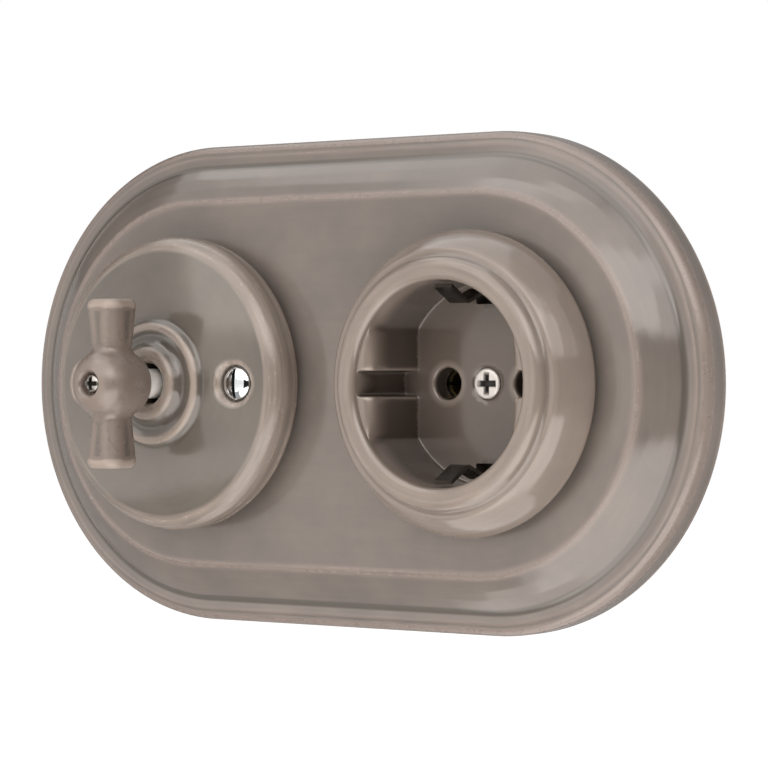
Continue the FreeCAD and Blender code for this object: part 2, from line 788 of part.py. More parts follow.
def earth_strap():
    """Sprung strip bent into a clip at the top and the bottom of the well, with eye and screw pad."""
    low = ring_thickness
    half_path = [
        (clip_root, low, strap_bend), (clip_root, well_floor + clip_neck, strap_bend),
        (clip_contact + strap_thickness, well_floor + clip_contact_height, strap_bend),
        (clip_tip, well_floor + clip_tip_height)]
    mirrored = [(-c[0],) + tuple(c[1:]) for c in reversed(half_path)]
    line = rounded_wire(mirrored + half_path, side, closed=False)
    section = line.makeOffset2D(-strap_thickness, fill=True, openResult=True)
    strap = section.extrude(FreeCAD.Vector(strap_width, 0, 0))
    strap.translate(FreeCAD.Vector(-strap_width / 2, 0, 0))
    half_pad = earth_pad_width / 2
    pad = slab(rectangle(half_pad, half_pad, pad_round), low, strap_top)
    strap = strap.fuse(peg(0, 0, low, strap_top, strap_eye_radius))
    strap = strap.fuse(pad.translated(FreeCAD.Vector(0, earth_screw_reach, 0)))
    strap = strap.cut(peg(0, 0, 0, through, bush_radius + thread_gap))
    strap = strap.cut(peg(0, earth_screw_reach, 0, through, small_screw_radius + thread_gap))
    return strap.removeSplitter().translated(FreeCAD.Vector(socket_x, 0, 0))


def earth_screw():
    """Clamp screw of the earth strap."""
    return flat_screw(socket_x, earth_screw_reach, strap_top)


def centre_bush():
    """Flanged threaded bush that holds the earth strap and takes the centre screw."""
    bottom = strap_top - bush_length
    bush = peg(socket_x, 0, bottom, strap_top, bush_radius)
    bush = bush.fuse(peg(socket_x, 0, strap_top, strap_top + bush_flange_rise, bush_flange_radius))
    return bush.cut(peg(socket_x, 0, -sink, through, centre_screw_radius + thread_gap))


def socket_base():
    """Ceramic body of the socket outlet with holes for the sleeves, clamp pockets and wire holes."""
    base = mechanism_body(0.0)
    rib_reach = earth_screw_reach + earth_pad_width / 2
    rib = slab(rectangle(boss_width / 2, rib_reach, pad_round), 0, ring_thickness)
    base = base.fuse(rib)
    bush_bottom = strap_top - bush_length - seat_gap
    base = base.cut(peg(0, 0, bush_bottom, through, bush_radius + thread_gap))
    base = base.cut(peg(0, 0, -well_depth, through, centre_screw_radius + seat_gap))
    base = base.cut(screw_hole(0, earth_screw_reach, strap_top))
    half = tab_width / 2 + seat_gap
    for sign in (-1, 1):
        base = base.cut(peg(sign * pin_reach, 0, -tab_depth, through, sleeve_radius + sleeve_room))
        near, far = sorted((sign * pin_reach, sign * (tab_reach + seat_gap)))
        base = base.cut(block(near, far, -half, half, -tab_depth, cut_margin))
    wire = Part.makeCylinder(wire_hole_radius, 2 * body_radius,
                             FreeCAD.Vector(-body_radius, 0, tab_wire_height), FreeCAD.Vector(1, 0, 0))
    keep = peg(0, 0, -sink, cut_margin, tab_reach)
    base = base.cut(wire.cut(keep))
    return base.removeSplitter().translated(FreeCAD.Vector(socket_x, 0, 0))


def pin_contact(sign):
    """Slit spring sleeve for a plug pin, with the clamp block that takes the wire."""
    x = sign * pin_reach
    inner = sleeve_radius - sleeve_wall
    half = tab_width / 2
    near, far = sorted((x, sign * tab_reach))
    clamp = block(near, far, -half, half, -tab_depth, tab_top)
    body = clamp.fuse(peg(x, 0, -tab_depth, sleeve_head, sleeve_radius))
    body = body.cut(peg(x, 0, -tab_depth + sleeve_wall, through, inner))
    half_slit = sleeve_slit / 2
    start = sleeve_head - sleeve_slit_length
    reach = sleeve_radius + cut_margin
    body = body.cut(block(x - reach, x + reach, -half_slit, half_slit, start, through))
    body = body.cut(block(x - half_slit, x + half_slit, -reach, reach, start, through))
    screw_x = sign * tab_screw_reach
    wire_start, wire_end = sorted((sign * (pin_reach + sleeve_radius), sign * tab_reach))
    wire = Part.makeCylinder(wire_hole_radius - seat_gap, wire_end - wire_start,
                             FreeCAD.Vector(wire_start, 0, tab_wire_height), FreeCAD.Vector(1, 0, 0))
    thread = peg(screw_x, 0, tab_wire_height, cut_margin, small_screw_radius + thread_gap)
    body = body.cut(wire).cut(thread)
    return body.translated(FreeCAD.Vector(socket_x, 0, 0))


def socket_terminal_screws():
    """Clamp screws of the two pin contacts."""
    length = tab_height / 3
    places = (socket_x - tab_screw_reach, socket_x + tab_screw_reach)
    return Part.makeCompound([clamp_screw(x, 0, tab_top, length) for x in places])


def upright(shape):
    """Turn a piece from its drawn position to its place on the wall."""
    return shape.rotated(FreeCAD.Vector(0, 0, 0), FreeCAD.Vector(1, 0, 0), 90)


pieces = {
    "double_frame": double_frame(),
    "switch_cover": switch_cover(),
    "cover_screws": cover_screws(),
    "cover_pillars": cover_pillars(),
    "knob": knob(),
    "knob_screw": knob_screw(),
    "spindle": spindle(),
    "cam": cam(),
    "contact_bridge": contact_bridge(),
    "retaining_clip": retaining_clip(),
    "switch_ring": switch_ring(),
    "switch_base": switch_base(),
    "switch_base_screws": body_screws(switch_x),
    "bearing_bar": bearing_bar(),
    "bearing_screws": bearing_screws(),
    "detent_springs": detent_springs(),
    "line_contact": fixed_contact(1),
    "load_contact": fixed_contact(-1),
    "switch_terminal_screws": switch_terminal_screws(),
    "socket_cover": socket_cover(),
    "centre_screw": centre_screw(),
    "earth_strap": earth_strap(),
    "earth_screw": earth_screw(),
    "socket_ring": socket_ring(),
    "socket_base": socket_base(),
    "socket_base_screws": body_screws(socket_x),
    "centre_bush": centre_bush(),
    "left_pin_contact": pin_contact(-1),
    "right_pin_contact": pin_contact(1),
    "socket_terminal_screws": socket_terminal_screws(),
}

os.makedirs("parts", exist_ok=True)
for name, shape in pieces.items():
    upright(shape).exportStep(f"parts/{name}.step")
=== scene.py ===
import math

import bmesh
import bpy
import numpy as np
from bpy.props import FloatProperty, FloatVectorProperty, PointerProperty
from mathutils import Matrix, Vector
from mathutils.geometry import delaunay_2d_cdt


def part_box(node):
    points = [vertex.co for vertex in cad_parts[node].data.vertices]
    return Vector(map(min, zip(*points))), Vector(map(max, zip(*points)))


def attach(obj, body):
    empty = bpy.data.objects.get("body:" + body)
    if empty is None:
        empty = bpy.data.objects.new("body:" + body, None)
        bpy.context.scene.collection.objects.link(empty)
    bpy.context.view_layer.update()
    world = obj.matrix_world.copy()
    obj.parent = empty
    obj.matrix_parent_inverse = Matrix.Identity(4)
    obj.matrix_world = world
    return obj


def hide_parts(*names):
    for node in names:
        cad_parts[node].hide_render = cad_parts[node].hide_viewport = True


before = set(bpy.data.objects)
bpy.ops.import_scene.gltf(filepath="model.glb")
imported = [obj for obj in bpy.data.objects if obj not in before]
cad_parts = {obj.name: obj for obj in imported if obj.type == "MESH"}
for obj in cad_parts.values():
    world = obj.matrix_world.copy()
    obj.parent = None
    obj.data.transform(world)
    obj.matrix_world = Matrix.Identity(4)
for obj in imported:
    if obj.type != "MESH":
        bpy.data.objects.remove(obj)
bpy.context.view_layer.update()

bl_info = {
    "name": "Porcelain Switch and Socket Unit",
    "version": (1, 0, 0),
    "blender": (4, 5, 0),
    "location": "View3D > Sidebar > Porcelain Unit",
    "description": "Builds a two-gang porcelain wall unit: rotary switch and earthed socket outlet",
    "category": "Object",
}

# The CAD box, and the CAD solids that give this file its main sizes (metres; out of the wall is -Y)
FRAME_LOW, FRAME_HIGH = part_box("double_frame")
SWITCH_LOW, SWITCH_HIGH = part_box("switch_cover")
SOCKET_LOW, SOCKET_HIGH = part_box("socket_cover")
KNOB_LOW, KNOB_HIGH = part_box("knob")
COVER_SCREW_LOW, COVER_SCREW_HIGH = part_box("cover_screws")
CENTRE_SCREW_LOW, CENTRE_SCREW_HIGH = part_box("centre_screw")
KNOB_SCREW_LOW, KNOB_SCREW_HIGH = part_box("knob_screw")
SWITCH_X = (SWITCH_LOW.x + SWITCH_HIGH.x) / 2
SOCKET_X = (SOCKET_LOW.x + SOCKET_HIGH.x) / 2

MM = 1000.0  # millimetres in a metre
WELD = 2e-6  # points nearer than this become one
ARC_STEP = math.radians(7.0)  # widest step along a rounding
FULL_ROUND = 1000.0  # a radius of this many lengths rounds a side fully
HARD_EDGE = math.radians(50)  # porcelain is shaded smooth over lesser bends
SCREW_EDGE = math.radians(40)  # and a screw over these
BROAD_NET = 0.0016  # spacing of points on level surfaces

SENSOR_WIDTH = 36.0  # millimetres
CAMERA_TARGET = (0.00445, 0.0, -0.00011)

# The mark tells a finish where a surface bends: above zero the glaze runs thin, below zero it gathers. Some
# pieces also lower it as painted shade and raise it as a painted highlight
EDGE_AND_SHADE_MARK = "edge_and_shade"
MARK_REACH = 0.0016  # a rounding of this radius has the full mark
MARK_POWER = 0.6
# The lowest mark, used for fully gathered glaze and for painted shade in crevices and recesses
DARKEST_MARK = -1.0
SIDE_THIN = 0.36  # the glaze on steep sides is this much thinner
FOOT_SHADE_SHARE = 0.8  # share of a foot's undercut darkened fully as a painted contact shadow


# Properties

def size(label, text, value):
    """A length that a user can change."""
    return FloatProperty(name=label, description=text, default=value, unit="LENGTH", precision=5)


def tint(label, text, value):
    """A colour that a user can change."""
    return FloatVectorProperty(name=label, description=text, default=value, size=3, min=0.0, max=1.0,
                               subtype="COLOR")


class PorcelainFrameSizes(bpy.types.PropertyGroup):
    """Sizes of the two-gang frame."""
    radius: size("Radius", "Half the height of the frame", FRAME_HIGH.z)
    platform_height: size("Platform height", "Height of the platform above the wall", -FRAME_LOW.y)
    shoulder_height: size("Shoulder height", "Height of the outer shoulder", 0.0066)
    shoulder_round: size("Shoulder round", "Rounding of the outer shoulder", 0.0020)
    terrace_width: size("Terrace width", "Width of the sloping terrace", 0.0046)
    terrace_rise: size("Terrace rise", "Rise of the terrace towards the platform", 0.0004)
    valley_round: size("Valley round", "Rounding where the slope meets the terrace", 0.0010)
    ovolo_width: size("Ovolo width", "Width of the bowed slope up to the platform", 0.0074)
    ovolo_bow: size("Ovolo bow", "How far the slope bows out", 0.0004)
    platform_round: size("Platform round", "Rounding of the platform's edge", 0.0024)
    rim: size("Rim", "Width of the rim that lies on the wall", 0.0052)
    rim_round: size("Rim round", "Rounding of the foot on the wall", 0.0004)
    wall: size("Wall", "Thickness of the porcelain under the platform", 0.0048)
    hollow_side: size("Hollow side", "Straight depth of the hollow behind", 0.0024)
    hollow_inset: size("Hollow inset", "How far the hollow's roof stays inside the platform", 0.0007)
    opening: size("Opening", "Radius of the opening in each gang", 0.0250)


class SwitchCoverSizes(bpy.types.PropertyGroup):
    """Sizes of the switch cover and its screws."""
    radius: size("Radius", "Radius of the cover", (SWITCH_HIGH.x - SWITCH_LOW.x) / 2)
    height: size("Height", "Height of the cover's edge above the platform", 0.0089)
    edge_round: size("Edge round", "Rounding of the cover's edge", 0.0038)
    foot_inset: size("Foot inset", "Undercut at the foot", 0.0018)
    foot_height: size("Foot height", "Height of the undercut", 0.0025)
    foot_round: size("Foot round", "Rounding above the undercut", 0.0030)
    cavity_radius: size("Cavity radius", "Radius of the hollow behind", 0.0248)
    cavity_height: size("Cavity height", "Height of the hollow's roof above the platform", 0.0049)
    cavity_round: size("Cavity round", "Rounding of the hollow's roof", 0.0020)
    dome_rise: size("Dome rise", "Rise of the face towards the bead", 0.0030)
    dome_bow: size("Dome bow", "How far the face bows out", 0.00035)
    bead_radius: size("Bead radius", "Radius of the raised ring", 0.0118)
    bead_width: size("Bead width", "Width of the raised ring", 0.0022)
    bead_height: size("Bead height", "Height of the raised ring", 0.0017)
    bead_round: size("Bead round", "Rounding of the raised ring", 0.0012)
    bead_foot_round: size("Bead foot round", "Rounding at the foot of the raised ring", 0.0006)
    gutter_radius: size("Gutter radius", "Radius of the dip inside the raised ring", 0.0086)
    gutter_drop: size("Gutter drop", "Depth of that dip", 0.0011)
    gutter_round: size("Gutter round", "Rounding of that dip", 0.0020)
    collar_radius: size("Collar radius", "Radius of the collar about the spindle", 0.0069)
    collar_top: size("Collar top", "Height of the collar above the wall", -SWITCH_LOW.y)
    collar_round: size("Collar round", "Rounding of the collar", 0.0012)
    window: size("Window", "Radius of the hole for the spindle", 0.0041)
    window_round: size("Window round", "Rounding of that hole's edge", 0.0019)
    screw_reach: size("Screw reach", "Distance of the cover screws from the axis", 0.0200)
    screw_hole: size("Screw hole", "Radius of the hole for a cover screw", 0.0017)
    seat_flare: size("Seat flare", "Rounded lip around the seat", 0.0018)
    head_radius: size("Head radius", "Radius of a screw head", 0.0034)
    head_rise: size("Head rise", "Height of a screw head", 0.0015)
    shank_radius: size("Shank radius", "Radius of a screw's shank", 0.0015)
    slot_width: size("Slot width", "Width of the driver slot", 0.0006)


class TurnKnobSizes(bpy.types.PropertyGroup):
    """Sizes of the turn knob."""
    back: size("Back", "Height of the knob's back above the wall", -KNOB_HIGH.y)
    front: size("Front", "Height of the knob's front above the wall", -KNOB_LOW.y)
    hub_radius: size("Hub radius", "Largest radius of the hub", (KNOB_HIGH.x - KNOB_LOW.x) / 2)
    wing_reach: size("Wing reach", "Distance of a wing's end from the axis", KNOB_HIGH.z)
    wing_height: size("Wing height", "Height of the wings' middle above the wall", 0.0372)
    wing_root: size("Wing root", "Width of a wing at the hub", 0.0074)
    wing_end: size("Wing end", "Width of a wing at its end", 0.0088)
    wing_round: size("Wing round", "Rounding of a wing's edges", 0.0030)
    end_round: size("End round", "Rounding around a wing's end", 0.0016)
    fillet: size("Fillet", "Softness of the joint between hub and wings", 0.0011)
    recess_radius: size("Recess radius", "Radius of the recess for the screw", 0.00230)
    recess_round: size("Recess round", "Rounding of the recess's lip", 0.0005)
    recess_depth: size("Recess depth", "Depth of the recess", 0.0020)


class SocketCoverSizes(bpy.types.PropertyGroup):
    """Sizes of the socket cover."""
    radius: size("Radius", "Radius of the cover before its side is rounded", 0.0298)
    lip_top: size("Lip top", "Height of the lip above the wall", -SOCKET_LOW.y)
    cup_bottom: size("Cup bottom", "Height of the cup's bottom above the wall", -SOCKET_HIGH.y)
    foot_inset: size("Foot inset", "Undercut at the foot", 0.0018)
    foot_height: size("Foot height", "Height of the undercut", 0.0025)
    foot_round: size("Foot round", "Rounding above the undercut", 0.0030)
    step_radius: size("Step radius", "Radius where the lip stands on the cover", 0.0244)
    step_height: size("Step height", "Height of that step above the platform", 0.0105)
    step_round: size("Step round", "Rounding at the foot of the lip", 0.0010)
    ledge: size("Ledge", "Width of the level ledge around the lip", 0.0013)
    ledge_round: size("Ledge round", "Rounding of that ledge", 0.0006)
    wall_bow: size("Wall bow", "How far the cover's side bows out", 0.0006)
    lip_slope: size("Lip slope", "How far the lip leans inwards", 0.0008)
    lip_outer_round: size("Lip outer round", "Rounding of the lip's outer edge", 0.0018)
    lip_round: size("Lip round", "Rounding of the lip's inner edge", 0.0012)
    well_radius: size("Well radius", "Radius of the well", 0.01975)
    well_depth: size("Well depth", "Depth of the well", 0.0173)
    well_wall: size("Well wall", "Thickness of the cup behind the platform", 0.0034)
    floor_round: size("Floor round", "Rounding around the well's floor", 0.0004)
    guide_flat: size("Guide flat", "Distance of the side guides from the axis", 0.0165)
    guide_front: size("Guide front", "Depth of the guides' rounded front", 0.0021)
    guide_groove: size("Guide groove", "Width of the groove that parts a guide", 0.0049)
    pin_reach: size("Pin reach", "Distance of a pin hole from the axis", 0.0095)
    pin_hole: size("Pin hole", "Radius of a pin hole", 0.0031)
    pin_round: size("Pin round", "Rounding of a pin hole's edge", 0.0006)
    sink_radius: size("Sink radius", "Radius of the countersink", 0.0034)
    sink_neck: size("Sink neck", "Radius of the hole for the centre screw", 0.00195)
    slot_near: size("Slot near", "Nearer side of an earth clip's slot", 0.0154)
    slot_far: size("Slot far", "Further side of an earth clip's slot", 0.0187)
    slot_half: size("Slot half", "Half the width of an earth clip's slot", 0.0026)


class CrossScrewSizes(bpy.types.PropertyGroup):
    """Sizes of the two cross-recess screws."""
    centre_radius: size("Centre radius", "Head radius of the centre screw",
                        (CENTRE_SCREW_HIGH.x - CENTRE_SCREW_LOW.x) / 2)
    centre_rise: size("Centre rise", "Height of its head above the well's floor", 0.0003)
    centre_shank: size("Centre shank", "Radius of its shank", 0.00175)
    knob_radius: size("Knob radius", "Head radius of the knob screw", 0.00200)
    knob_rise: size("Knob rise", "Height of its head", 0.0012)
    knob_shank: size("Knob shank", "Radius of its shank", 0.0012)
    arm: FloatProperty(name="Arm", description="Reach of the cross in head radii", default=0.76)
    arm_half: FloatProperty(name="Arm half", description="Half width of its arms in head radii", default=0.22)
    depth: FloatProperty(name="Depth", description="Depth of the cross in head radii", default=0.45)


class FinishColours(bpy.types.PropertyGroup):
    """Colours of the finishes."""
    frame_glaze: tint("Frame glaze", "Glaze of the frame", (0.178, 0.149, 0.129))
    frame_thin: tint("Frame thin glaze", "Glaze of the frame where it runs thin", (0.275, 0.213, 0.182))
    cover_glaze: tint("Cover glaze", "Glaze of the switch cover", (0.139, 0.118, 0.098))
    socket_glaze: tint("Socket glaze", "Glaze of the socket cover", (0.236, 0.189, 0.157))
    knob_glaze: tint("Knob glaze", "Glaze of the knob", (0.215, 0.168, 0.141))
    thin_glaze: tint("Thin glaze", "Glaze where it runs thin over an edge", (0.40, 0.315, 0.26))
    # Gathered glaze, and also the colour of painted shade in the frame's valley and crease and under the
    # switch cover's foot
    glaze_pool_and_shade: tint("Pooled glaze", "Glaze where it gathers in a hollow", (0.110, 0.094, 0.079))
    # Mostly painted shade: deep in the well, in its holes and slots and under the socket cover's foot; also
    # the socket's gathered glaze
    well_glaze_and_shade: tint("Well glaze", "Glaze deep in the socket's well", (0.064, 0.048, 0.039))
    white_ceramic: tint("White ceramic", "Unglazed mechanism bodies", (0.78, 0.76, 0.72))
    spindle: tint("Spindle", "White spindle of the switch", (0.90, 0.86, 0.80))
    chrome: tint("Chrome", "Bright plating of the cover screws", (0.80, 0.81, 0.82))
    zinc: tint("Zinc", "Zinc-plated steel", (0.62, 0.63, 0.65))
    nickel: tint("Nickel", "Satin head of the centre screw", (0.80, 0.73, 0.67))
    spring: tint("Spring steel", "Blued spring steel", (0.22, 0.22, 0.24))
    earth: tint("Earth metal", "Dull earth clips", (0.17, 0.155, 0.14))
    brass: tint("Brass", "Contacts and bush", (0.70, 0.50, 0.20))
    thermoset: tint("Thermoset", "Dark moulded cam", (0.030, 0.022, 0.018))


class StudioSettings(bpy.types.PropertyGroup):
    """Floor, light and camera."""
    floor_height: size("Floor height", "Height of the floor", -0.26)
    camera_distance: size("Camera distance", "Distance of the camera from the unit", 0.63553)
    camera_turn: FloatProperty(name="Camera turn", description="Angle of the camera about the upright",
                               default=math.radians(37.15), subtype="ANGLE")
    camera_tilt: FloatProperty(name="Camera tilt", description="Angle of the camera above the level",
                               default=math.radians(0.14), subtype="ANGLE")
    camera_lens: FloatProperty(name="Camera lens", description="Focal length in millimetres", default=148.07)
    ambient: FloatProperty(name="Ambient", description="Strength of the light from all around", default=0.10)


# Surfaces

def stand(x, up, out):
    """Points in the frame's axes from x, the height up the wall and the height out of the wall."""
    x, up, out = np.broadcast_arrays(x, up, out)
    return np.stack([x, -out, up], axis=-1)


def rounded_profile(corners, spacing):
    """Chain of points through corners (u, v) or (u, v, radius). Each corner becomes the arc tangent to both
    of its sides, where a wide arc leaves a small one its room, and every run longer than spacing is divided
    evenly."""
    points = np.array([corner[:2] for corner in corners], dtype=float)
    radii = np.array([corner[2] if len(corner) == 3 else 0.0 for corner in corners])
    sides = np.diff(points, axis=0)
    lengths = np.linalg.norm(sides, axis=1)
    along = sides / lengths[:, None]
    turns = np.zeros(len(points))
    turns[1:-1] = np.arccos(np.clip((along[:-1] * along[1:]).sum(axis=1), -1.0, 1.0))
    bends = np.zeros(len(points))
    bends[1:-1] = along[:-1, 0] * along[1:, 1] - along[:-1, 1] * along[1:, 0]
    wanted = radii * np.tan(turns / 2)
    reach = wanted.copy()
    reach[:-1] = np.minimum(reach[:-1], np.maximum(lengths - wanted[1:], lengths / 2))
    reach[1:] = np.minimum(reach[1:], np.maximum(lengths - wanted[:-1], lengths / 2))
    pieces = [points[:1]]
    for i in range(1, len(points) - 1):
        if reach[i] < 1e-9:
            pieces.append(points[i:i + 1])
            continue
        start = points[i] - along[i - 1] * reach[i]
        radius = reach[i] / math.tan(turns[i] / 2)
        turn = math.copysign(turns[i], bends[i])
        inwards = np.array([-along[i - 1, 1], along[i - 1, 0]]) * math.copysign(1.0, turn)
        first = math.atan2(-inwards[1], -inwards[0])
        angles = first + np.linspace(0.0, turn, max(3, math.ceil(turns[i] / ARC_STEP) + 1))
        arc = np.stack([np.cos(angles), np.sin(angles)], axis=1)
        pieces.append(start + inwards * radius + radius * arc)
    pieces.append(points[-1:])
    chain = np.concatenate(pieces)
    chain = chain[np.insert(np.linalg.norm(np.diff(chain, axis=0), axis=1) > 1e-8, 0, True)]
    gaps = np.linalg.norm(np.diff(chain, axis=0), axis=1)
    counts = np.maximum(1, np.ceil(gaps / spacing)).astype(int)
    starts = np.repeat(np.arange(len(gaps)), counts)
    steps = np.concatenate([np.arange(count) / count for count in counts])
    dense = chain[starts] + (chain[starts + 1] - chain[starts]) * steps[:, None]
    return np.concatenate([dense, chain[-1:]])


def flowed(profile, spread):
    """Profile softened as glaze flows in firing: each point becomes the mean of its neighbours along the
    chain, weighted by a bell curve of width spread; both ends stay."""
    lengths = np.linalg.norm(np.diff(profile, axis=0), axis=1)
    place = np.insert(np.cumsum(lengths), 0, 0.0)
    share = (np.insert(lengths, 0, 0.0) + np.append(lengths, 0.0)) / 2
    bell = np.exp(-0.5 * ((place[:, None] - place[None, :]) / spread) ** 2) * share
    soft = bell @ profile / bell.sum(axis=1, keepdims=True)
    hold = np.clip(np.minimum(place, place[-1] - place) / (3 * spread), 0.0, 1.0)[:, None]
    return profile + (soft - profile) * hold


def bowed(start, end, bow):
    """Corner that, fully rounded, makes a convex curve from start to end that stands out by about bow."""
    length = math.dist(start, end)
    normal = ((start[1] - end[1]) / length, (end[0] - start[0]) / length)
    middle = ((start[0] + end[0]) / 2, (start[1] + end[1]) / 2)
    return middle[0] + 2 * bow * normal[0], middle[1] + 2 * bow * normal[1], length * FULL_ROUND


def edge_mark(bend):
    """Mark of a bend given as one over its radius: a power below one, so that wide roundings count too."""
    return np.clip(np.sign(bend) * (np.abs(bend) * MARK_REACH) ** MARK_POWER, -1.0, 1.0)


def bend_marks(profile, spread=0.0006):
    """How sharply a profile bends, blurred over the distance that fired glaze creeps: each turn of the chain
    is shared out by a bell curve along its length, and the mark is a power of the bend, above zero on edges
    and below zero in hollows. It fades towards both ends, where level surfaces join."""
    steps = np.diff(profile, axis=0)
    lengths = np.linalg.norm(steps, axis=1)
    place = np.insert(np.cumsum(lengths), 0, 0.0)
    headings = np.unwrap(np.arctan2(steps[:, 1], steps[:, 0]))
    turns = np.zeros(len(profile))
    turns[1:-1] = np.diff(headings)
    apart = (place[:, None] - place[None, :]) / spread
    bell = np.exp(-0.5 * apart ** 2) / (spread * math.sqrt(2 * math.pi))
    fade = np.clip(np.minimum(place, place[-1] - place) / (1.5 * spread), 0.0, 1.0)
    return edge_mark(bell @ turns) * fade


def ring_angles(count):
    """Angles of the columns of a turned surface."""
    return np.linspace(0.0, 2 * math.pi, count, endpoint=False)


def lathe(profile, x, angles, up=0.0):
    """Turned surface: each point (r, h) of the profile goes round the axis at (x, up) at the given angles."""
    radius = profile[:, :1]
    return stand(x + radius * np.cos(angles), up + radius * np.sin(angles), profile[:, 1:])


def circle(x, up, radius, angles):
    """Closed loop seen from the front."""
    return np.stack([x + radius * np.cos(angles), up + radius * np.sin(angles)], axis=1)


def inside(points, loops):
    """Even-odd test: a point is inside where a level line from it crosses the loops an odd number of
    times."""
    crossings = np.zeros(len(points), dtype=int)
    for loop in loops:
        ahead = np.roll(loop, -1, axis=0)
        rise = ahead[:, 1] - loop[:, 1]
        rise = np.where(rise == 0.0, 1e-15, rise)
        straddles = (loop[None, :, 1] > points[:, 1:]) != (ahead[None, :, 1] > points[:, 1:])
        meets = loop[:, 0] + (points[:, 1:] - loop[:, 1]) / rise * (ahead[:, 0] - loop[:, 0])
        crossings += (straddles & (points[:, :1] < meets)).sum(axis=1)
    return crossings % 2 == 1


def plan_patch(loops, spacing):
    """Triangles over the area inside the first loop and outside the others, seen from the front: the loops'
    points and a staggered net of points spacing apart, joined by a constrained Delaunay triangulation."""
    row_share, clear_share, chunk = 0.866, 0.55, 2000
    outline = np.concatenate(loops)
    starts = np.cumsum([0] + [len(loop) for loop in loops[:-1]])
    turns = [np.arange(len(loop)) for loop in loops]
    edges = np.concatenate([np.stack([start + turn, start + (turn + 1) % len(turn)], axis=1)
                            for start, turn in zip(starts, turns)])
    low, high = outline.min(axis=0), outline.max(axis=0)
    net = np.stack(np.meshgrid(np.arange(low[0], high[0], spacing),
                               np.arange(low[1], high[1], spacing * row_share)), axis=-1)
    net[1::2, :, 0] += spacing / 2
    net = net.reshape(-1, 2)
    net = net[inside(net, loops)]
    nearest = np.concatenate([np.linalg.norm(part[:, None] - outline[None], axis=2).min(axis=1)
                              for part in np.array_split(net, max(1, len(net) // chunk))])
    net = net[nearest > spacing * clear_share]
    points = [Vector(point) for point in (np.concatenate([outline, net]) * MM).tolist()]
    found, _, faces, *_ = delaunay_2d_cdt(points, edges.tolist(), [], 0, 1e-6)
    flat = np.array([point[:] for point in found]) / MM
    triangles = np.array(faces)
    return flat, triangles[inside(flat[triangles].mean(axis=1), loops)]


class Shell:
    """Grids and patches of one piece, welded into one closed surface."""

    def __init__(self):
        self.points = []
        self.marks = []
        self.faces = []
        self.total = 0

    def add(self, points, marks):
        """Take in points and their edge marks, and give the index of the first."""
        first = self.total
        self.points.append(points.reshape(-1, 3))
        self.marks.append(np.broadcast_to(marks, points.shape[:-1]).reshape(-1))
        self.total += len(self.points[-1])
        return first

    def grid(self, points, marks=0.0, closed=True):
        """Quads between the rows of a grid; closed joins its last column to its first."""
        rows, columns = points.shape[:2]
        index = self.add(points, marks) + np.arange(rows * columns).reshape(rows, columns)
        if closed:
            index = np.concatenate([index, index[:, :1]], axis=1)
        quads = np.stack([index[:-1, :-1], index[:-1, 1:], index[1:, 1:], index[1:, :-1]], axis=-1)
        self.faces += quads.reshape(-1, 4).tolist()

    def turned(self, profile, x, angles, up=0.0):
        """A turned surface with the marks of its profile."""
        self.grid(lathe(profile, x, angles, up), bend_marks(profile)[:, None])

    def patch(self, loops, spacing, height, marks=0.0):
        """An area seen from the front, lifted out of the wall to a height or to height(x, up)."""
        flat, triangles = plan_patch(loops, spacing)
        x, up = flat.T
        first = self.add(stand(x, up, height(x, up) if callable(height) else height), marks)
        self.faces += (first + triangles).tolist()

    def build(self, name, sharp=None):
        """Weld the parts, turn all faces outwards and give the object; sharp is the angle of hard edges."""
        mesh = bpy.data.meshes.new(name)
        mesh.from_pydata(np.concatenate(self.points).tolist(), [], self.faces)
        marks = mesh.attributes.new(EDGE_AND_SHADE_MARK, "FLOAT", "POINT")
        marks.data.foreach_set("value", np.concatenate(self.marks).astype(np.float32))
        work = bmesh.new()
        work.from_mesh(mesh)
        bmesh.ops.remove_doubles(work, verts=work.verts, dist=WELD)
        bmesh.ops.dissolve_degenerate(work, edges=work.edges, dist=WELD / 2)
        bmesh.ops.recalc_face_normals(work, faces=work.faces)
        if work.calc_volume(signed=True) < 0.0:
            bmesh.ops.reverse_faces(work, faces=work.faces)
        work.to_mesh(mesh)
        work.free()
        mesh.shade_smooth()
        if sharp is not None:
            mesh.set_sharp_from_angle(angle=sharp)
        piece = bpy.data.objects.new(name, mesh)
        bpy.context.collection.objects.link(piece)
        return piece


def dress(piece, body, slot, material, *nodes):
    """Give a finished piece its material and body, and let it stand for CAD nodes. slot is not used."""
    piece.data.materials.clear()
    piece.data.materials.append(material)
    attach(piece, body)
    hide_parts(*nodes)


# Finishes

def finish_group(name, colours, values):
    """Empty shader node group of a finish: named colours and values go in, and a colour, a roughness and a
    height come out."""
    group = bpy.data.node_groups.new(name, "ShaderNodeTree")
    sockets = [(label, "INPUT", "NodeSocketColor") for label in colours]
    sockets += [(label, "INPUT", "NodeSocketFloat") for label in values]
    sockets += [("Color", "OUTPUT", "NodeSocketColor"), ("Roughness", "OUTPUT", "NodeSocketFloat"),
                ("Height", "OUTPUT", "NodeSocketFloat")]
    for label, way, kind in sockets:
        group.interface.new_socket(label, in_out=way, socket_type=kind)
    return group, group.nodes.new("NodeGroupInput").outputs


def put_out(group, colour, roughness, height):
    """Link what a finish has worked out to the outputs of its group."""
    out = group.nodes.new("NodeGroupOutput")
    for label, value in (("Color", colour), ("Roughness", roughness), ("Height", height)):
        group.links.new(value, out.inputs[label])


def noise(tree, coordinates, scale, detail=2.0, roughness=0.5):
    """Noise on the given coordinates, from 0 to 1."""
    node = tree.nodes.new("ShaderNodeTexNoise")
    node.inputs["Scale"].default_value = scale
    node.inputs["Detail"].default_value = detail
    node.inputs["Roughness"].default_value = roughness
    tree.links.new(coordinates, node.inputs["Vector"])
    return node.outputs["Fac"]


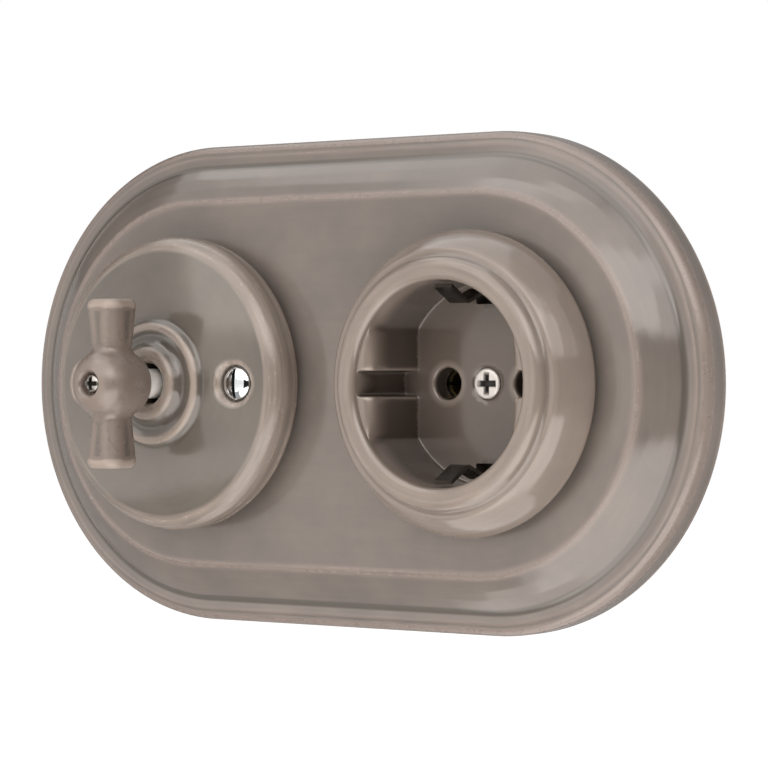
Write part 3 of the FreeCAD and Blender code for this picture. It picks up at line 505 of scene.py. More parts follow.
def ramp(tree, value, low, high, start, end):
    """Smooth step of a value from start at low to end at high."""
    node = tree.nodes.new("ShaderNodeMapRange")
    node.interpolation_type = "SMOOTHSTEP"
    for label, number in zip(("From Min", "From Max", "To Min", "To Max"), (low, high, start, end)):
        node.inputs[label].default_value = number
    tree.links.new(value, node.inputs["Value"])
    return node.outputs["Result"]


def combine(tree, operation, first, second):
    """Sum, product or the like of two values, each a socket or a number."""
    node = tree.nodes.new("ShaderNodeMath")
    node.operation = operation
    for socket, value in zip(node.inputs, (first, second)):
        if isinstance(value, bpy.types.NodeSocket):
            tree.links.new(value, socket)
        else:
            socket.default_value = value
    return node.outputs["Value"]


def blend(tree, factor, first, second, kind="MIX"):
    """Mix of two colours, each a socket or a tuple."""
    node = tree.nodes.new("ShaderNodeMix")
    node.data_type = "RGBA"
    node.blend_type = kind
    colours = [socket for socket in node.inputs if socket.type == "RGBA"]
    factors = [socket for socket in node.inputs if socket.type == "VALUE"]
    for socket, value in zip([factors[0]] + colours, (factor, first, second)):
        if isinstance(value, bpy.types.NodeSocket):
            tree.links.new(value, socket)
        elif isinstance(value, float):
            socket.default_value = value
        else:
            socket.default_value = (*value, 1.0)
    return next(socket for socket in node.outputs if socket.type == "RGBA")


def object_coordinates(tree):
    """The piece's own coordinates in metres."""
    return tree.nodes.new("ShaderNodeTexCoord").outputs["Object"]


def brush_strokes(tree, spot, left, right):
    """Noise drawn out along the way of a brush round the run between two axes that stand out of the wall.
    It is read at the distance from that run, the height out of the wall, the place along the run and the
    direction from it, so it changes fast across a stroke and slowly along it."""
    along_scale, turn_scale, core = 60.0, 2.2, 4e-5
    split = tree.nodes.new("ShaderNodeSeparateXYZ")
    tree.links.new(spot, split.inputs["Vector"])
    x, y, z = split.outputs
    axis = combine(tree, "MINIMUM", combine(tree, "MAXIMUM", x, left), right)
    aside = combine(tree, "SUBTRACT", x, axis)
    square = combine(tree, "ADD", combine(tree, "MULTIPLY", aside, aside), combine(tree, "MULTIPLY", z, z))
    distance = combine(tree, "SQRT", combine(tree, "ADD", square, core), 0.0)
    cosine, sine = (combine(tree, "MULTIPLY", combine(tree, "DIVIDE", part, distance), turn_scale)
                    for part in (aside, z))
    along = combine(tree, "ADD", combine(tree, "MULTIPLY", axis, along_scale), cosine)
    path = tree.nodes.new("ShaderNodeCombineXYZ")
    for socket, value in zip(path.inputs, (combine(tree, "MULTIPLY", distance, MM),
                                           combine(tree, "MULTIPLY", y, MM), along)):
        tree.links.new(value, socket)
    strokes = noise(tree, path.outputs["Vector"], 1.0, 3.0, 0.6)
    strokes.node.noise_dimensions = "4D"
    tree.links.new(sine, strokes.node.inputs["W"])
    return strokes


def fired_glaze_group():
    """Glaze: cloudy colour in brush strokes, thin and pale over edges, gathered and dark in hollows, with
    fine specks. The same mark also carries the painted shade and painted highlight that pieces put in."""
    group, given = finish_group("Fired Glaze", ("Body", "Thin", "Pooled"),
                                ("Edge", "Cloud", "Left", "Right", "Dull"))
    spot = object_coordinates(group)
    cloud = noise(group, spot, 75.0, 4.0, 0.55)
    stroke = brush_strokes(group, spot, given["Left"], given["Right"])
    streak = noise(group, spot, 420.0, 3.0, 0.6)
    grain = noise(group, spot, 2600.0, 1.0)
    ripple = noise(group, spot, 260.0, 2.0)
    # Colour: clouds as strong as the material asks, faint brush strokes, and specks
    shade = combine(group, "MULTIPLY", combine(group, "SUBTRACT", cloud, 0.5), given["Cloud"])
    level = ramp(group, combine(group, "ADD", shade, 0.5), 0.2, 0.8, 0.0, 1.0)
    brushed = ramp(group, stroke, 0.25, 0.75, 0.0, 1.0)
    body = given["Body"]
    for tone in (blend(group, level, (0.80, 0.81, 0.83), (1.22, 1.19, 1.15)),
                 blend(group, brushed, (0.972, 0.975, 0.98), (1.028, 1.025, 1.02))):
        body = blend(group, 1.0, body, tone, "MULTIPLY")
    body = blend(group, ramp(group, grain, 0.66, 0.78, 0.0, 0.16), body, given["Pooled"])
    # Edges: thin glaze that the strokes make uneven, and gathered glaze, which also serves as painted shade
    uneven = combine(group, "MULTIPLY", combine(group, "SUBTRACT", stroke, 0.5), 1.2)
    raised = combine(group, "MAXIMUM", given["Edge"], 0.0)
    edge = combine(group, "ADD", given["Edge"], combine(group, "MULTIPLY", uneven, raised))
    thin = ramp(group, edge, 0.20, 1.00, 0.0, 0.80)
    pool_and_shade = ramp(group, edge, -1.00, -0.30, 0.90, 0.0)
    colour = blend(group, pool_and_shade, blend(group, thin, body, given["Thin"]), given["Pooled"])
    # Gloss: streaked, less where the glaze is thin
    rough = ramp(group, streak, 0.25, 0.75, 0.12, 0.18)
    for more in (combine(group, "MULTIPLY", thin, 0.18), given["Dull"]):
        rough = combine(group, "ADD", rough, more)
    put_out(group, colour, rough, combine(group, "ADD", ripple, combine(group, "MULTIPLY", stroke, 0.08)))
    return group


def worn_metal_group():
    """Metal: clouded tone, fine scratches, a dull film that comes and goes, and painted shade in its
    recesses.
    """
    group, given = finish_group("Worn Metal", ("Metal", "Film"), ("Wear", "Polish", "Edge"))
    spot = object_coordinates(group)
    cloud = noise(group, spot, 380.0, 4.0, 0.6)
    stretch = group.nodes.new("ShaderNodeMapping")
    stretch.inputs["Scale"].default_value = (9000.0, 900.0, 350.0)
    stretch.inputs["Rotation"].default_value = (0.4, 0.7, 0.3)
    group.links.new(spot, stretch.inputs["Vector"])
    scratch = noise(group, stretch.outputs["Vector"], 1.0, 2.0)
    film = combine(group, "MULTIPLY", ramp(group, cloud, 0.42, 0.72, 0.0, 1.0), given["Wear"])
    # Painted shade: where a piece lowers its mark in a slot or cross, the metal turns nearly black and duller
    recess_shade = ramp(group, given["Edge"], -0.60, -0.05, 0.96, 0.0)
    colour = blend(group, film, given["Metal"], given["Film"])
    colour = blend(group, recess_shade, colour, (0.020, 0.017, 0.015))
    rough = given["Polish"]
    scratched = ramp(group, scratch, 0.45, 0.75, 0.0, 0.12)
    for dulling, weight in ((film, 0.25), (scratched, given["Wear"]), (recess_shade, 0.4)):
        rough = combine(group, "ADD", rough, combine(group, "MULTIPLY", dulling, weight))
    put_out(group, colour, rough, scratch)
    return group


def fired_body_group():
    """Unglazed body: fine pores, faint clouds and a dry skin."""
    group, given = finish_group("Fired Body", ("Body", "Pores"), ("Skin",))
    spot = object_coordinates(group)
    cloud = noise(group, spot, 140.0, 3.0)
    pore = noise(group, spot, 1900.0, 2.0, 0.6)
    colour = given["Body"]
    for share in (ramp(group, cloud, 0.3, 0.75, 0.0, 0.16), ramp(group, pore, 0.60, 0.74, 0.0, 0.35)):
        colour = blend(group, share, colour, given["Pores"])
    unevenness = combine(group, "MULTIPLY", combine(group, "SUBTRACT", pore, 0.5), 0.2)
    put_out(group, colour, combine(group, "ADD", given["Skin"], unevenness), pore)
    return group


def shared_group(name, maker):
    """The named group, made when it is first needed."""
    return bpy.data.node_groups.get(name) or maker()


def finish_material(name, group, inputs, bump, distance, metallic=0.0, mark=None, coat=0.0,
                    sheen=(1.0, 1.0, 1.0), index=1.5):
    """Principled material fed by a shared group. bump and distance set the depth of its relief, sheen and
    index the tint and the strength of its reflections."""
    known = bpy.data.materials.get(name)
    if known:
        return known
    material = bpy.data.materials.new(name)
    material.use_nodes = True
    tree = material.node_tree
    shader = tree.nodes["Principled BSDF"]
    finish = tree.nodes.new("ShaderNodeGroup")
    finish.node_tree = group
    for label, value in inputs.items():
        finish.inputs[label].default_value = value if isinstance(value, float) else (*value, 1.0)
    if mark:
        attribute = tree.nodes.new("ShaderNodeAttribute")
        attribute.attribute_name = mark
        tree.links.new(attribute.outputs["Fac"], finish.inputs["Edge"])
    relief = tree.nodes.new("ShaderNodeBump")
    relief.inputs["Strength"].default_value = bump
    relief.inputs["Distance"].default_value = distance
    for source, target in ((finish.outputs["Height"], relief.inputs["Height"]),
                           (finish.outputs["Color"], shader.inputs["Base Color"]),
                           (finish.outputs["Roughness"], shader.inputs["Roughness"]),
                           (relief.outputs["Normal"], shader.inputs["Normal"])):
        tree.links.new(source, target)
    for label, value in (("Metallic", metallic), ("Coat Weight", coat), ("Coat Roughness", 0.10),
                         ("Specular Tint", (*sheen, 1.0)), ("IOR", index)):
        shader.inputs[label].default_value = value
    return material


def glaze(name, body, thin, pool_and_shade, cloud, left, right, dull=0.0):
    """Glazed porcelain, brushed round the run from left to right; dull adds to its roughness."""
    return finish_material(
        name, shared_group("Fired Glaze", fired_glaze_group),
        {"Body": body, "Thin": thin, "Pooled": pool_and_shade, "Cloud": cloud,
         "Left": left, "Right": right, "Dull": dull},
        0.11, 0.00006, mark=EDGE_AND_SHADE_MARK, coat=0.12, sheen=(1.0, 0.93, 0.88), index=1.6)


def scaled(colour, factor):
    """A colour made lighter or darker."""
    return tuple(channel * factor for channel in colour)


def metal(name, tone, film, wear, polish, metallic=1.0, mark=None):
    """Metal under a film of film times its tone, with its wear and polish, and painted shade where a piece
    marks its recesses."""
    return finish_material(
        name, shared_group("Worn Metal", worn_metal_group),
        {"Metal": tone, "Film": scaled(tone, film), "Wear": wear, "Polish": polish}, 0.08, 0.00002,
        metallic=metallic, mark=mark)


def fired_body(name, body, pores, skin):
    """Unglazed ceramic or moulded body whose pores are pores times its tone."""
    return finish_material(
        name, shared_group("Fired Body", fired_body_group),
        {"Body": body, "Pores": scaled(body, pores), "Skin": skin}, 0.18, 0.00004)


# Operators

class OBJECT_OT_double_frame(bpy.types.Operator):
    """Two-gang porcelain frame with stepped rim"""
    bl_idname = "object.porcelain_double_frame"
    bl_label = "Double Frame"

    def execute(self, context):
        given = context.scene.porcelain_frame
        colours = context.scene.porcelain_colours
        spacing, softness, fade, thinnest = 0.00028, 0.0003, 0.001, 0.85
        terrace = given.radius - given.terrace_width
        terrace_end = (terrace, given.shoulder_height + given.terrace_rise)
        platform = (terrace - given.ovolo_width, given.platform_height)
        hollow = given.radius - given.rim
        roof = given.platform_height - given.wall
        roof_edge = platform[0] - given.hollow_inset
        inset = given.terrace_width
        profile = rounded_profile([
            (roof_edge - inset, roof), (roof_edge, roof, given.wall / 2),
            (hollow, given.hollow_side, given.wall / 2),
            (hollow, 0.0, given.rim_round), (given.radius, 0.0, given.rim_round),
            (given.radius, given.shoulder_height, given.shoulder_round),
            (*terrace_end, given.valley_round), bowed(platform, terrace_end, given.ovolo_bow),
            (*platform, given.platform_round), (platform[0] - inset, given.platform_height)], spacing)
        profile = flowed(profile, softness)
        reach, height = profile.T
        terrace_share = np.clip((reach - terrace) / fade, 0.0, 1.0) * (height > given.hollow_side)

        def line(radius, width, above):
            """Narrow band about a radius, on the part of the profile above a height."""
            return np.exp(-((reach - radius) / width) ** 2) * (height > above)

        # Glaze runs thin on the platform's edge; the valley and a crease below the shoulder are darkened as
        # gathered glaze and painted shade
        edge = line(platform[0] + 0.0003, 0.0007, roof + fade)
        valley = line(terrace, 0.0006, given.shoulder_height * 0.9)
        crease = line(given.radius - given.shoulder_round + 0.0002, 0.00028, given.hollow_side)
        marks = np.clip(bend_marks(profile) + SIDE_THIN * terrace_share + 0.35 * edge, -0.55, thinnest)
        marks = np.clip(marks - 0.7 * valley - 1.1 * crease, DARKEST_MARK, thinnest)
        crease_depth = 0.00012
        height = height - crease_depth * crease
        # Plan columns: half circles about both gangs, joined by straight runs
        round_columns, run_columns = 97, 34
        arc = np.linspace(-math.pi / 2, math.pi / 2, round_columns)
        run = np.linspace(SOCKET_X, SWITCH_X, run_columns + 2)[1:-1]
        upright = np.full(run_columns, math.pi / 2)
        middles = np.concatenate([np.full(round_columns, SOCKET_X), run,
                                  np.full(round_columns, SWITCH_X), run[::-1]])
        angles = np.concatenate([arc, upright, arc + math.pi, upright + math.pi])
        radius = reach[:, None]
        rows = stand(middles + radius * np.cos(angles), radius * np.sin(angles), height[:, None])
        shell = Shell()
        shell.grid(rows, marks[:, None])
        turn = ring_angles(144)
        holes = [circle(x, 0.0, given.opening, turn) for x in (SWITCH_X, SOCKET_X)]
        for row, level in ((rows[-1], given.platform_height), (rows[0], roof)):
            shell.patch([row[:, [0, 2]]] + holes, BROAD_NET, level)
        wall = rounded_profile([(given.opening, given.platform_height), (given.opening, roof)], 0.0012)
        for x in (SWITCH_X, SOCKET_X):
            shell.turned(wall, x, turn)
        piece = shell.build("porcelain_frame", HARD_EDGE)
        finish = glaze("Frame Glaze", colours.frame_glaze, colours.frame_thin, colours.glaze_pool_and_shade, 0.58,
                       SWITCH_X, SOCKET_X)
        dress(piece, "unit", "frame_glaze", finish, "double_frame")
        return {"FINISHED"}


class OBJECT_OT_switch_cover(bpy.types.Operator):
    """Domed switch cover with bead, collar and dished screw seats"""
    bl_idname = "object.porcelain_switch_cover"
    bl_label = "Switch Cover"

    def execute(self, context):
        given = context.scene.porcelain_switch
        colours = context.scene.porcelain_colours
        side_spacing, middle_spacing, dome_spacing, softness = 0.0006, 0.00025, 0.0009, 0.0002
        seat_play, thinnest = 0.0002, 0.68
        platform = context.scene.porcelain_frame.platform_height
        face = platform + given.height
        roof = platform + given.cavity_height
        crown = face + given.dome_rise
        bead_foot = given.bead_radius + given.bead_width / 2
        crest = crown + given.bead_height

        def dome(radius):
            """Height of the face: a shallow cone up to the bead, bowed out along a parabola."""
            share = (given.radius - radius) / (given.radius - bead_foot)
            return face + given.dome_rise * share + 4 * given.dome_bow * share * (1.0 - share)

        outer = given.radius - given.edge_round
        inner = bead_foot + given.bead_height
        roof_outer = given.cavity_radius - given.edge_round
        roof_inner = given.window + given.bead_width
        side = rounded_profile([
            (roof_outer, roof), (given.cavity_radius, roof, given.cavity_round),
            (given.cavity_radius, platform), (given.radius - given.foot_inset, platform),
            (given.radius, platform + given.foot_height, given.foot_round),
            (given.radius, face, given.edge_round), (outer, dome(outer))], side_spacing)
        side_share = np.clip((side[:, 0] - outer) / given.edge_round, 0.0, 1.0) * (side[:, 1] > platform)
        side_marks = np.clip(bend_marks(side) + SIDE_THIN * side_share, DARKEST_MARK, thinnest)
        # The undercut at the foot is darkened fully as a painted contact shadow
        side_marks[side[:, 1] < platform + FOOT_SHADE_SHARE * given.foot_height] = DARKEST_MARK
        middle = rounded_profile([
            (inner, dome(inner)), (bead_foot, crown, given.bead_foot_round),
            (given.bead_radius, crest, given.bead_round),
            (given.gutter_radius, crest - given.gutter_drop, given.gutter_round),
            (given.collar_radius, given.collar_top, given.collar_round),
            (given.window, given.collar_top, given.window_round), (given.window, roof), (roof_inner, roof)],
            middle_spacing)
        middle = flowed(middle, softness)
        turn = ring_angles(192)
        shell = Shell()
        shell.grid(lathe(side, SWITCH_X, turn), side_marks[:, None])
        shell.turned(middle, SWITCH_X, turn)
        # Each seat sinks from the dome to a level floor along a quarter of an ellipse
        seat_floor = -COVER_SCREW_LOW.y - given.head_rise
        seat_radius = given.head_radius + seat_play
        lip = seat_radius + given.seat_flare
        around = ring_angles(96)
        sink = np.sin(np.linspace(0.0, math.pi / 2, 20))
        reach = lip - given.seat_flare * sink
        drop = 1.0 - np.sqrt(1.0 - sink ** 2)
        seat_marks = bend_marks(np.stack([reach, -given.head_rise * drop], axis=1)) * 0.8
        drill = rounded_profile([(seat_radius, seat_floor), (given.screw_hole, seat_floor),
                                 (given.screw_hole, roof)], side_spacing)
        seats = (SWITCH_X - given.screw_reach, SWITCH_X + given.screw_reach)
        for x in seats:
            across = x + reach[:, None] * np.cos(around)
            up = reach[:, None] * np.sin(around)
            level = dome(np.hypot(across - SWITCH_X, up))
            shell.grid(stand(across, up, level + (seat_floor - level) * drop[:, None]), seat_marks[:, None])
            shell.turned(drill, x, around)
        for radii, hole, spacing, height in (
                ((outer, inner), lip, dome_spacing, lambda x, up: dome(np.hypot(x - SWITCH_X, up))),
                ((roof_outer, roof_inner), given.screw_hole, BROAD_NET, roof)):
            rings = [circle(SWITCH_X, 0.0, radius, turn) for radius in radii]
            shell.patch(rings + [circle(x, 0.0, hole, around) for x in seats], spacing, height)
        piece = shell.build("porcelain_switch_cover", HARD_EDGE)
        finish = glaze("Cover Glaze", colours.cover_glaze, colours.thin_glaze, colours.glaze_pool_and_shade, 0.60,
                       SWITCH_X, SWITCH_X)
        dress(piece, "unit", "cover_glaze", finish, "switch_cover")
        return {"FINISHED"}


class OBJECT_OT_cover_screws(bpy.types.Operator):
    """Two domed slotted screws of the switch cover"""
    bl_idname = "object.porcelain_cover_screws"
    bl_label = "Cover Screws"

    def execute(self, context):
        given = context.scene.porcelain_switch
        top = -COVER_SCREW_LOW.y
        seat = top - given.head_rise
        tip = -COVER_SCREW_HIGH.y
        radius = given.head_radius
        half = given.slot_width / 2
        bevel, fall, slot_share, crown_power = 0.00007, 0.0006, 0.42, 2.3
        # Rows across the head lie close together at the sides of the slot and at the rim
        clear = half + 3 * bevel
        side = np.concatenate([np.linspace(0.0, half - bevel, 5), half + bevel * np.linspace(-0.6, 2.0, 8),
                               clear + (radius - clear) * np.sin(np.linspace(0.0, math.pi / 2, 22))])
        across = np.concatenate([-side[:0:-1], side])[:, None]
        span = np.sin(np.linspace(-math.pi / 2, math.pi / 2, 49))
        up = span * np.sqrt(np.maximum(radius ** 2 - across ** 2, 0.0))
        share = np.minimum(np.hypot(across, up) / radius, 1.0)
        # The head falls along a superellipse to its rim; the slot's sides rise by fall over a bevel's width
        crown = seat + given.head_rise * (1.0 - share ** crown_power) ** (1.0 / crown_power)
        slot = seat + given.head_rise * slot_share + np.maximum(np.abs(across) - half, 0.0) / bevel * fall
        shank = rounded_profile([(0.0, tip), (given.shank_radius, tip, 0.0004), (given.shank_radius, seat),
                                 (0.0, seat)], 0.0015)
        shell = Shell()
        for x in (SWITCH_X - given.screw_reach, SWITCH_X + given.screw_reach):
            # The mark lowers into the slot, which the metal darkens as painted shade
            shell.grid(stand(x + across, up, np.minimum(crown, slot)), np.minimum(slot - crown, 0.0) / fall,
                       closed=False)
            shell.grid(stand(x + across, up, seat), closed=False)
            shell.grid(lathe(shank, x, ring_angles(32)))
        piece = shell.build("cover_screw_pair", SCREW_EDGE)
        colours = context.scene.porcelain_colours
        chrome = metal("Bright Chrome", colours.chrome, 0.72, 0.25, 0.07, mark=EDGE_AND_SHADE_MARK)
        dress(piece, "unit", "chrome", chrome, "cover_screws")
        return {"FINISHED"}


class OBJECT_OT_turn_knob(bpy.types.Operator):
    """Porcelain turn knob with two bar wings"""
    bl_idname = "object.porcelain_turn_knob"
    bl_label = "Turn Knob"

    def execute(self, context):
        given = context.scene.porcelain_knob
        colours = context.scene.porcelain_colours
        barrel, halvings, beyond_reach = 2.8, 40, 0.02
        hub_middle = (given.back + given.front) / 2 - given.wing_height
        hub_half = (given.front - given.back) / 2

        def rounded(gaps, radius):
            """Distance to a shape cut out by two distances, its edge rounded by a radius."""
            gaps = gaps + radius
            return np.linalg.norm(np.maximum(gaps, 0.0), axis=0) + np.minimum(gaps.max(axis=0), 0.0) - radius

        def field(x, up, out):
            """Below zero inside: a barrel of superellipse section and a bar that widens to its ends, each as
            a distance, joined by a smooth minimum."""
            radial = np.hypot(x, up) / given.hub_radius
            axial = np.abs(out - hub_middle) / hub_half
            hub = ((radial ** barrel + axial ** barrel) ** (1 / barrel) - 1.0) * given.hub_radius
            wing_length = given.wing_reach - given.hub_radius
            spread = np.clip((np.abs(up) - given.hub_radius) / wing_length, 0.0, 1.0)
            half = (given.wing_root + (given.wing_end - given.wing_root) * spread) / 2
            girth = rounded(np.stack([np.abs(x) - half, np.abs(out) - half]), given.wing_round)
            bar = rounded(np.stack([girth, np.abs(up) - given.wing_reach]), given.end_round)
            near = np.maximum(given.fillet - np.abs(hub - bar), 0.0) / given.fillet
            return np.minimum(hub, bar) - near ** 2 * given.fillet / 4

        def cast(start, ray):
            """Where rays from points inside meet the surface, by halving the range again and again."""
            low = np.zeros(ray.shape[1:])
            high = np.full(ray.shape[1:], beyond_reach)
            for _ in range(halvings):
                middle = (low + high) / 2
                within = field(*(start + ray * middle)) < 0.0
                low = np.where(within, middle, low)
                high = np.where(within, high, middle)
            return start + ray * (low + high) / 2

        # Rows along the bar, and round each end from its side to its pole
        end = given.wing_reach - given.end_round * 1.9
        turn = ring_angles(168)
        stations = np.linspace(-end, end, 141)[:, None]
        spokes = np.stack(np.broadcast_arrays(np.cos(turn), 0.0 * stations, np.sin(turn)))
        roots = np.stack(np.broadcast_arrays(0.0 * turn, stations, 0.0))
        rows = [cast(roots, spokes)]
        lean = np.linspace(math.pi / 2, 0.0, 40)[:, None]
        for sign in (-1.0, 1.0):
            ray = np.stack(np.broadcast_arrays(np.sin(lean) * np.cos(turn), sign * np.cos(lean),
                                               np.sin(lean) * np.sin(turn)))
            rows.append(cast(np.array([0.0, sign * end, 0.0])[:, None, None], ray))
        # Marks from the field's Laplacian, lowered over the wings so that they come out darker than the hub;
        # on the wing tips the raised mark is thin glaze and also a painted highlight
        shell = Shell()
        step, own_bend = 0.0010, 0.36
        for row in rows:
            probes = [field(*(row + np.array(offset)[:, None, None] * step)) for offset in (
                (1, 0, 0), (-1, 0, 0), (0, 1, 0), (0, -1, 0), (0, 0, 1), (0, 0, -1))]
            bend = (sum(probes) - 6 * field(*row)) / step ** 2
            points = stand(SWITCH_X + row[0], row[1], given.wing_height + row[2])
            reach = np.abs(row[1])
            wing = np.clip((reach - given.hub_radius) / given.end_round, 0.0, 1.0)
            tip = np.clip((reach - given.wing_reach) / given.end_round + 1.6, 0.0, 1.0)
            marks = np.maximum(edge_mark(bend) - own_bend - 0.5 * wing, -0.40 - 0.45 * wing) + 1.5 * tip
            shell.grid(points, marks)
        piece = shell.build("porcelain_turn_knob")
        # The recess is cut out by a turned tool whose lip flares at the knob's front
        flare = (given.recess_radius + given.recess_round) * 1.5
        beyond = given.front + given.recess_depth
        recess_floor = given.front - given.recess_depth
        recess = rounded_profile([
            (0.0, recess_floor), (given.recess_radius, recess_floor, 0.0003),
            (given.recess_radius, given.front - given.recess_round / 3, given.recess_round * 2),
            (flare, given.front), (flare, beyond), (0.0, beyond)], 0.0004)
        cutter = Shell()
        cutter.grid(lathe(recess, SWITCH_X, ring_angles(96)))
        tool = cutter.build("recess_tool")
        carve = piece.modifiers.new("Recess", "BOOLEAN")
        carve.operation = "DIFFERENCE"
        carve.object = tool
        depsgraph = context.evaluated_depsgraph_get()
        carved = bpy.data.meshes.new_from_object(piece.evaluated_get(depsgraph), depsgraph=depsgraph)
        piece.modifiers.clear()
        piece.data = carved
        carved.name = piece.name
        carved.shade_smooth()
        carved.set_sharp_from_angle(angle=HARD_EDGE)
        bpy.data.objects.remove(tool)
        finish = glaze("Knob Glaze", colours.knob_glaze, colours.thin_glaze, colours.glaze_pool_and_shade, 0.44,
                       SWITCH_X, SWITCH_X, dull=0.14)
        dress(piece, "knob", "knob_glaze", finish, "knob")
        return {"FINISHED"}


class OBJECT_OT_socket_cover(bpy.types.Operator):
    """Socket cover with stepped ring and round well"""
    bl_idname = "object.porcelain_socket_cover"
    bl_label = "Socket Cover"

    def well_section(self, given):
        """Section of the well seen from the front, and the length of a step along it: a circle with a flat
        on each side that a groove parts, walked in even steps and softened by a bell curve along its length,
        which damps its Fourier waves."""
        columns, fine_columns, softness = 420, 48000, 0.0005
        fine = ring_angles(fine_columns)
        with np.errstate(divide="ignore"):
            flat = np.maximum(given.guide_flat / np.abs(np.cos(fine)),
                              given.guide_groove / 2 / np.abs(np.sin(fine)))
        outline = circle(0.0, 0.0, np.minimum(given.well_radius, flat), fine)
        lengths = np.linalg.norm(np.roll(outline, -1, axis=0) - outline, axis=1)
        travel = np.insert(np.cumsum(lengths), 0, 0.0)
        closed = np.concatenate([outline, outline[:1]])
        even = np.linspace(0.0, travel[-1], columns, endpoint=False)
        section = np.stack([np.interp(even, travel, closed[:, axis]) for axis in (0, 1)], axis=1)
        stride = travel[-1] / columns
        soften = np.exp(-2.0 * (math.pi * softness * np.fft.fftfreq(columns, stride)) ** 2)[:, None]
        return np.fft.ifft(np.fft.fft(section, axis=0) * soften, axis=0).real, stride

    def execute(self, context):
        given = context.scene.porcelain_socket
        colours = context.scene.porcelain_colours
        profile_spacing, hole_spacing, floor_spacing = 0.0004, 0.0007, 0.0010
        softness, slot_round = 0.0002, 0.0004
        # The well's floor and rounded foot are darkened as painted shade, and its wall and holes darken more
        # with depth over the last two distances
        curl_shade_mark, floor_shade_mark, shade_depth, hole_shade_depth = -0.7, -0.72, 0.007, 0.002
        platform = context.scene.porcelain_frame.platform_height
        floor = given.lip_top - given.well_depth
        cup = given.well_radius + given.well_wall
        cup_flat = cup - 0.002
        bottom = given.cup_bottom
        section, stride = self.well_section(given)
        angles = np.arctan2(section[:, 1], section[:, 0])
        ring = given.well_radius * np.stack([np.cos(angles), np.sin(angles)], axis=1)

        wall_start = (given.radius, platform + given.foot_height)
        step = (given.step_radius, platform + given.step_height)
        ledge = (given.step_radius + given.ledge, platform + given.step_height)
        mouth = given.lip_top - given.lip_round
        throat = mouth - 0.0002
        profile = rounded_profile([
            (cup_flat, bottom), (cup, bottom, 0.001), (cup, platform),
            (given.radius - given.foot_inset, platform),
            (*wall_start, given.foot_round), bowed(ledge, wall_start, given.wall_bow),
            (*ledge, given.ledge_round), (*step, given.step_round),
            (given.step_radius - given.lip_slope, given.lip_top, given.lip_outer_round),
            (given.well_radius, given.lip_top, given.lip_round), (given.well_radius, throat)],
            profile_spacing)
        profile = flowed(profile, softness)
        ring_marks = np.clip(bend_marks(profile) * 0.7, -0.5, 0.42)
        # The undercut at the foot is darkened fully as a painted contact shadow
        ring_marks[profile[:, 1] < platform + FOOT_SHADE_SHARE * given.foot_height] = DARKEST_MARK
        shell = Shell()
        shell.grid(lathe(profile, SOCKET_X, angles), ring_marks[:, None])
        # Wall of the well: the mouth's circle passes into the section along a quarter of an ellipse
        sweep = np.linspace(0.0, math.pi / 2, 14)
        fronts = throat - given.guide_front * (1.0 - np.cos(sweep))
        depths = np.linspace(fronts[-1], floor + given.floor_round, 22)[1:]
        heights = np.concatenate([fronts, depths])[:, None]
        share = np.concatenate([np.sin(sweep), np.ones(len(depths))])[:, None, None]
        wall = ring * (1.0 - share) + section * share
        # Marks: thin glaze on the guides' rounded fronts and edges, painted shade that deepens towards the
        # floor, and gathered glaze in the corners
        full_guide, past_front, front_width, corner_round = 0.0033, 9.0, 0.5, 0.0006
        protrude = np.linalg.norm(ring - section, axis=1)[None, :] / full_guide
        around_front = np.concatenate([sweep, np.full(len(depths), past_front)])[:, None]
        marks = np.exp(-((around_front - 1.0) / front_width) ** 2) * protrude
        marks = marks * 0.8 - np.clip((mouth - heights) / shade_depth, 0.0, 1.0) ** 0.7
        along = np.roll(section, -1, axis=0) - np.roll(section, 1, axis=0)
        inwards = np.stack([-along[:, 1], along[:, 0]], axis=1) / np.linalg.norm(along, axis=1, keepdims=True)
        bend = np.cross(np.roll(along, 1, axis=0), np.roll(along, -1, axis=0))
        bend = bend / (np.linalg.norm(along, axis=1) ** 2) / (2 * stride)
        corner = np.clip(-bend * corner_round, -1.0, 1.0)[None, :] * share[..., 0]
        shell.grid(stand(SOCKET_X + wall[..., 0], wall[..., 1], heights), np.clip(marks + corner, -1.0, 1.0))
        # The wall's rounded foot is darkened as painted shade
        curl = np.linspace(0.0, math.pi / 2, 6)
        turned_in = section + inwards * (given.floor_round * (1.0 - np.cos(curl)))[:, None, None]
        shell.grid(stand(SOCKET_X + turned_in[..., 0], turned_in[..., 1],
                         floor + given.floor_round * (1.0 - np.sin(curl))[:, None]), curl_shade_mark)
        # Floor and bottom, with the holes that go through both; the floor, its rounded edge, the holes and
        # the clips' slots are darkened as painted shade
        around = ring_angles(84)
        rim = given.pin_hole + 3 * given.pin_round
        sink = given.sink_radius - given.sink_neck
        pin = rounded_profile([(rim, floor), (given.pin_hole, floor, given.pin_round),
                               (given.pin_hole, bottom)], hole_spacing)
        screw = rounded_profile([(given.sink_radius, floor), (given.sink_neck, floor - sink),
                                 (given.sink_neck, bottom)], hole_spacing)
        upper = [turned_in[-1] + (SOCKET_X, 0.0)]
        lower = [circle(SOCKET_X, 0.0, cup_flat, angles)]
        for x, drill in ((-given.pin_reach, pin), (given.pin_reach, pin), (0.0, screw)):
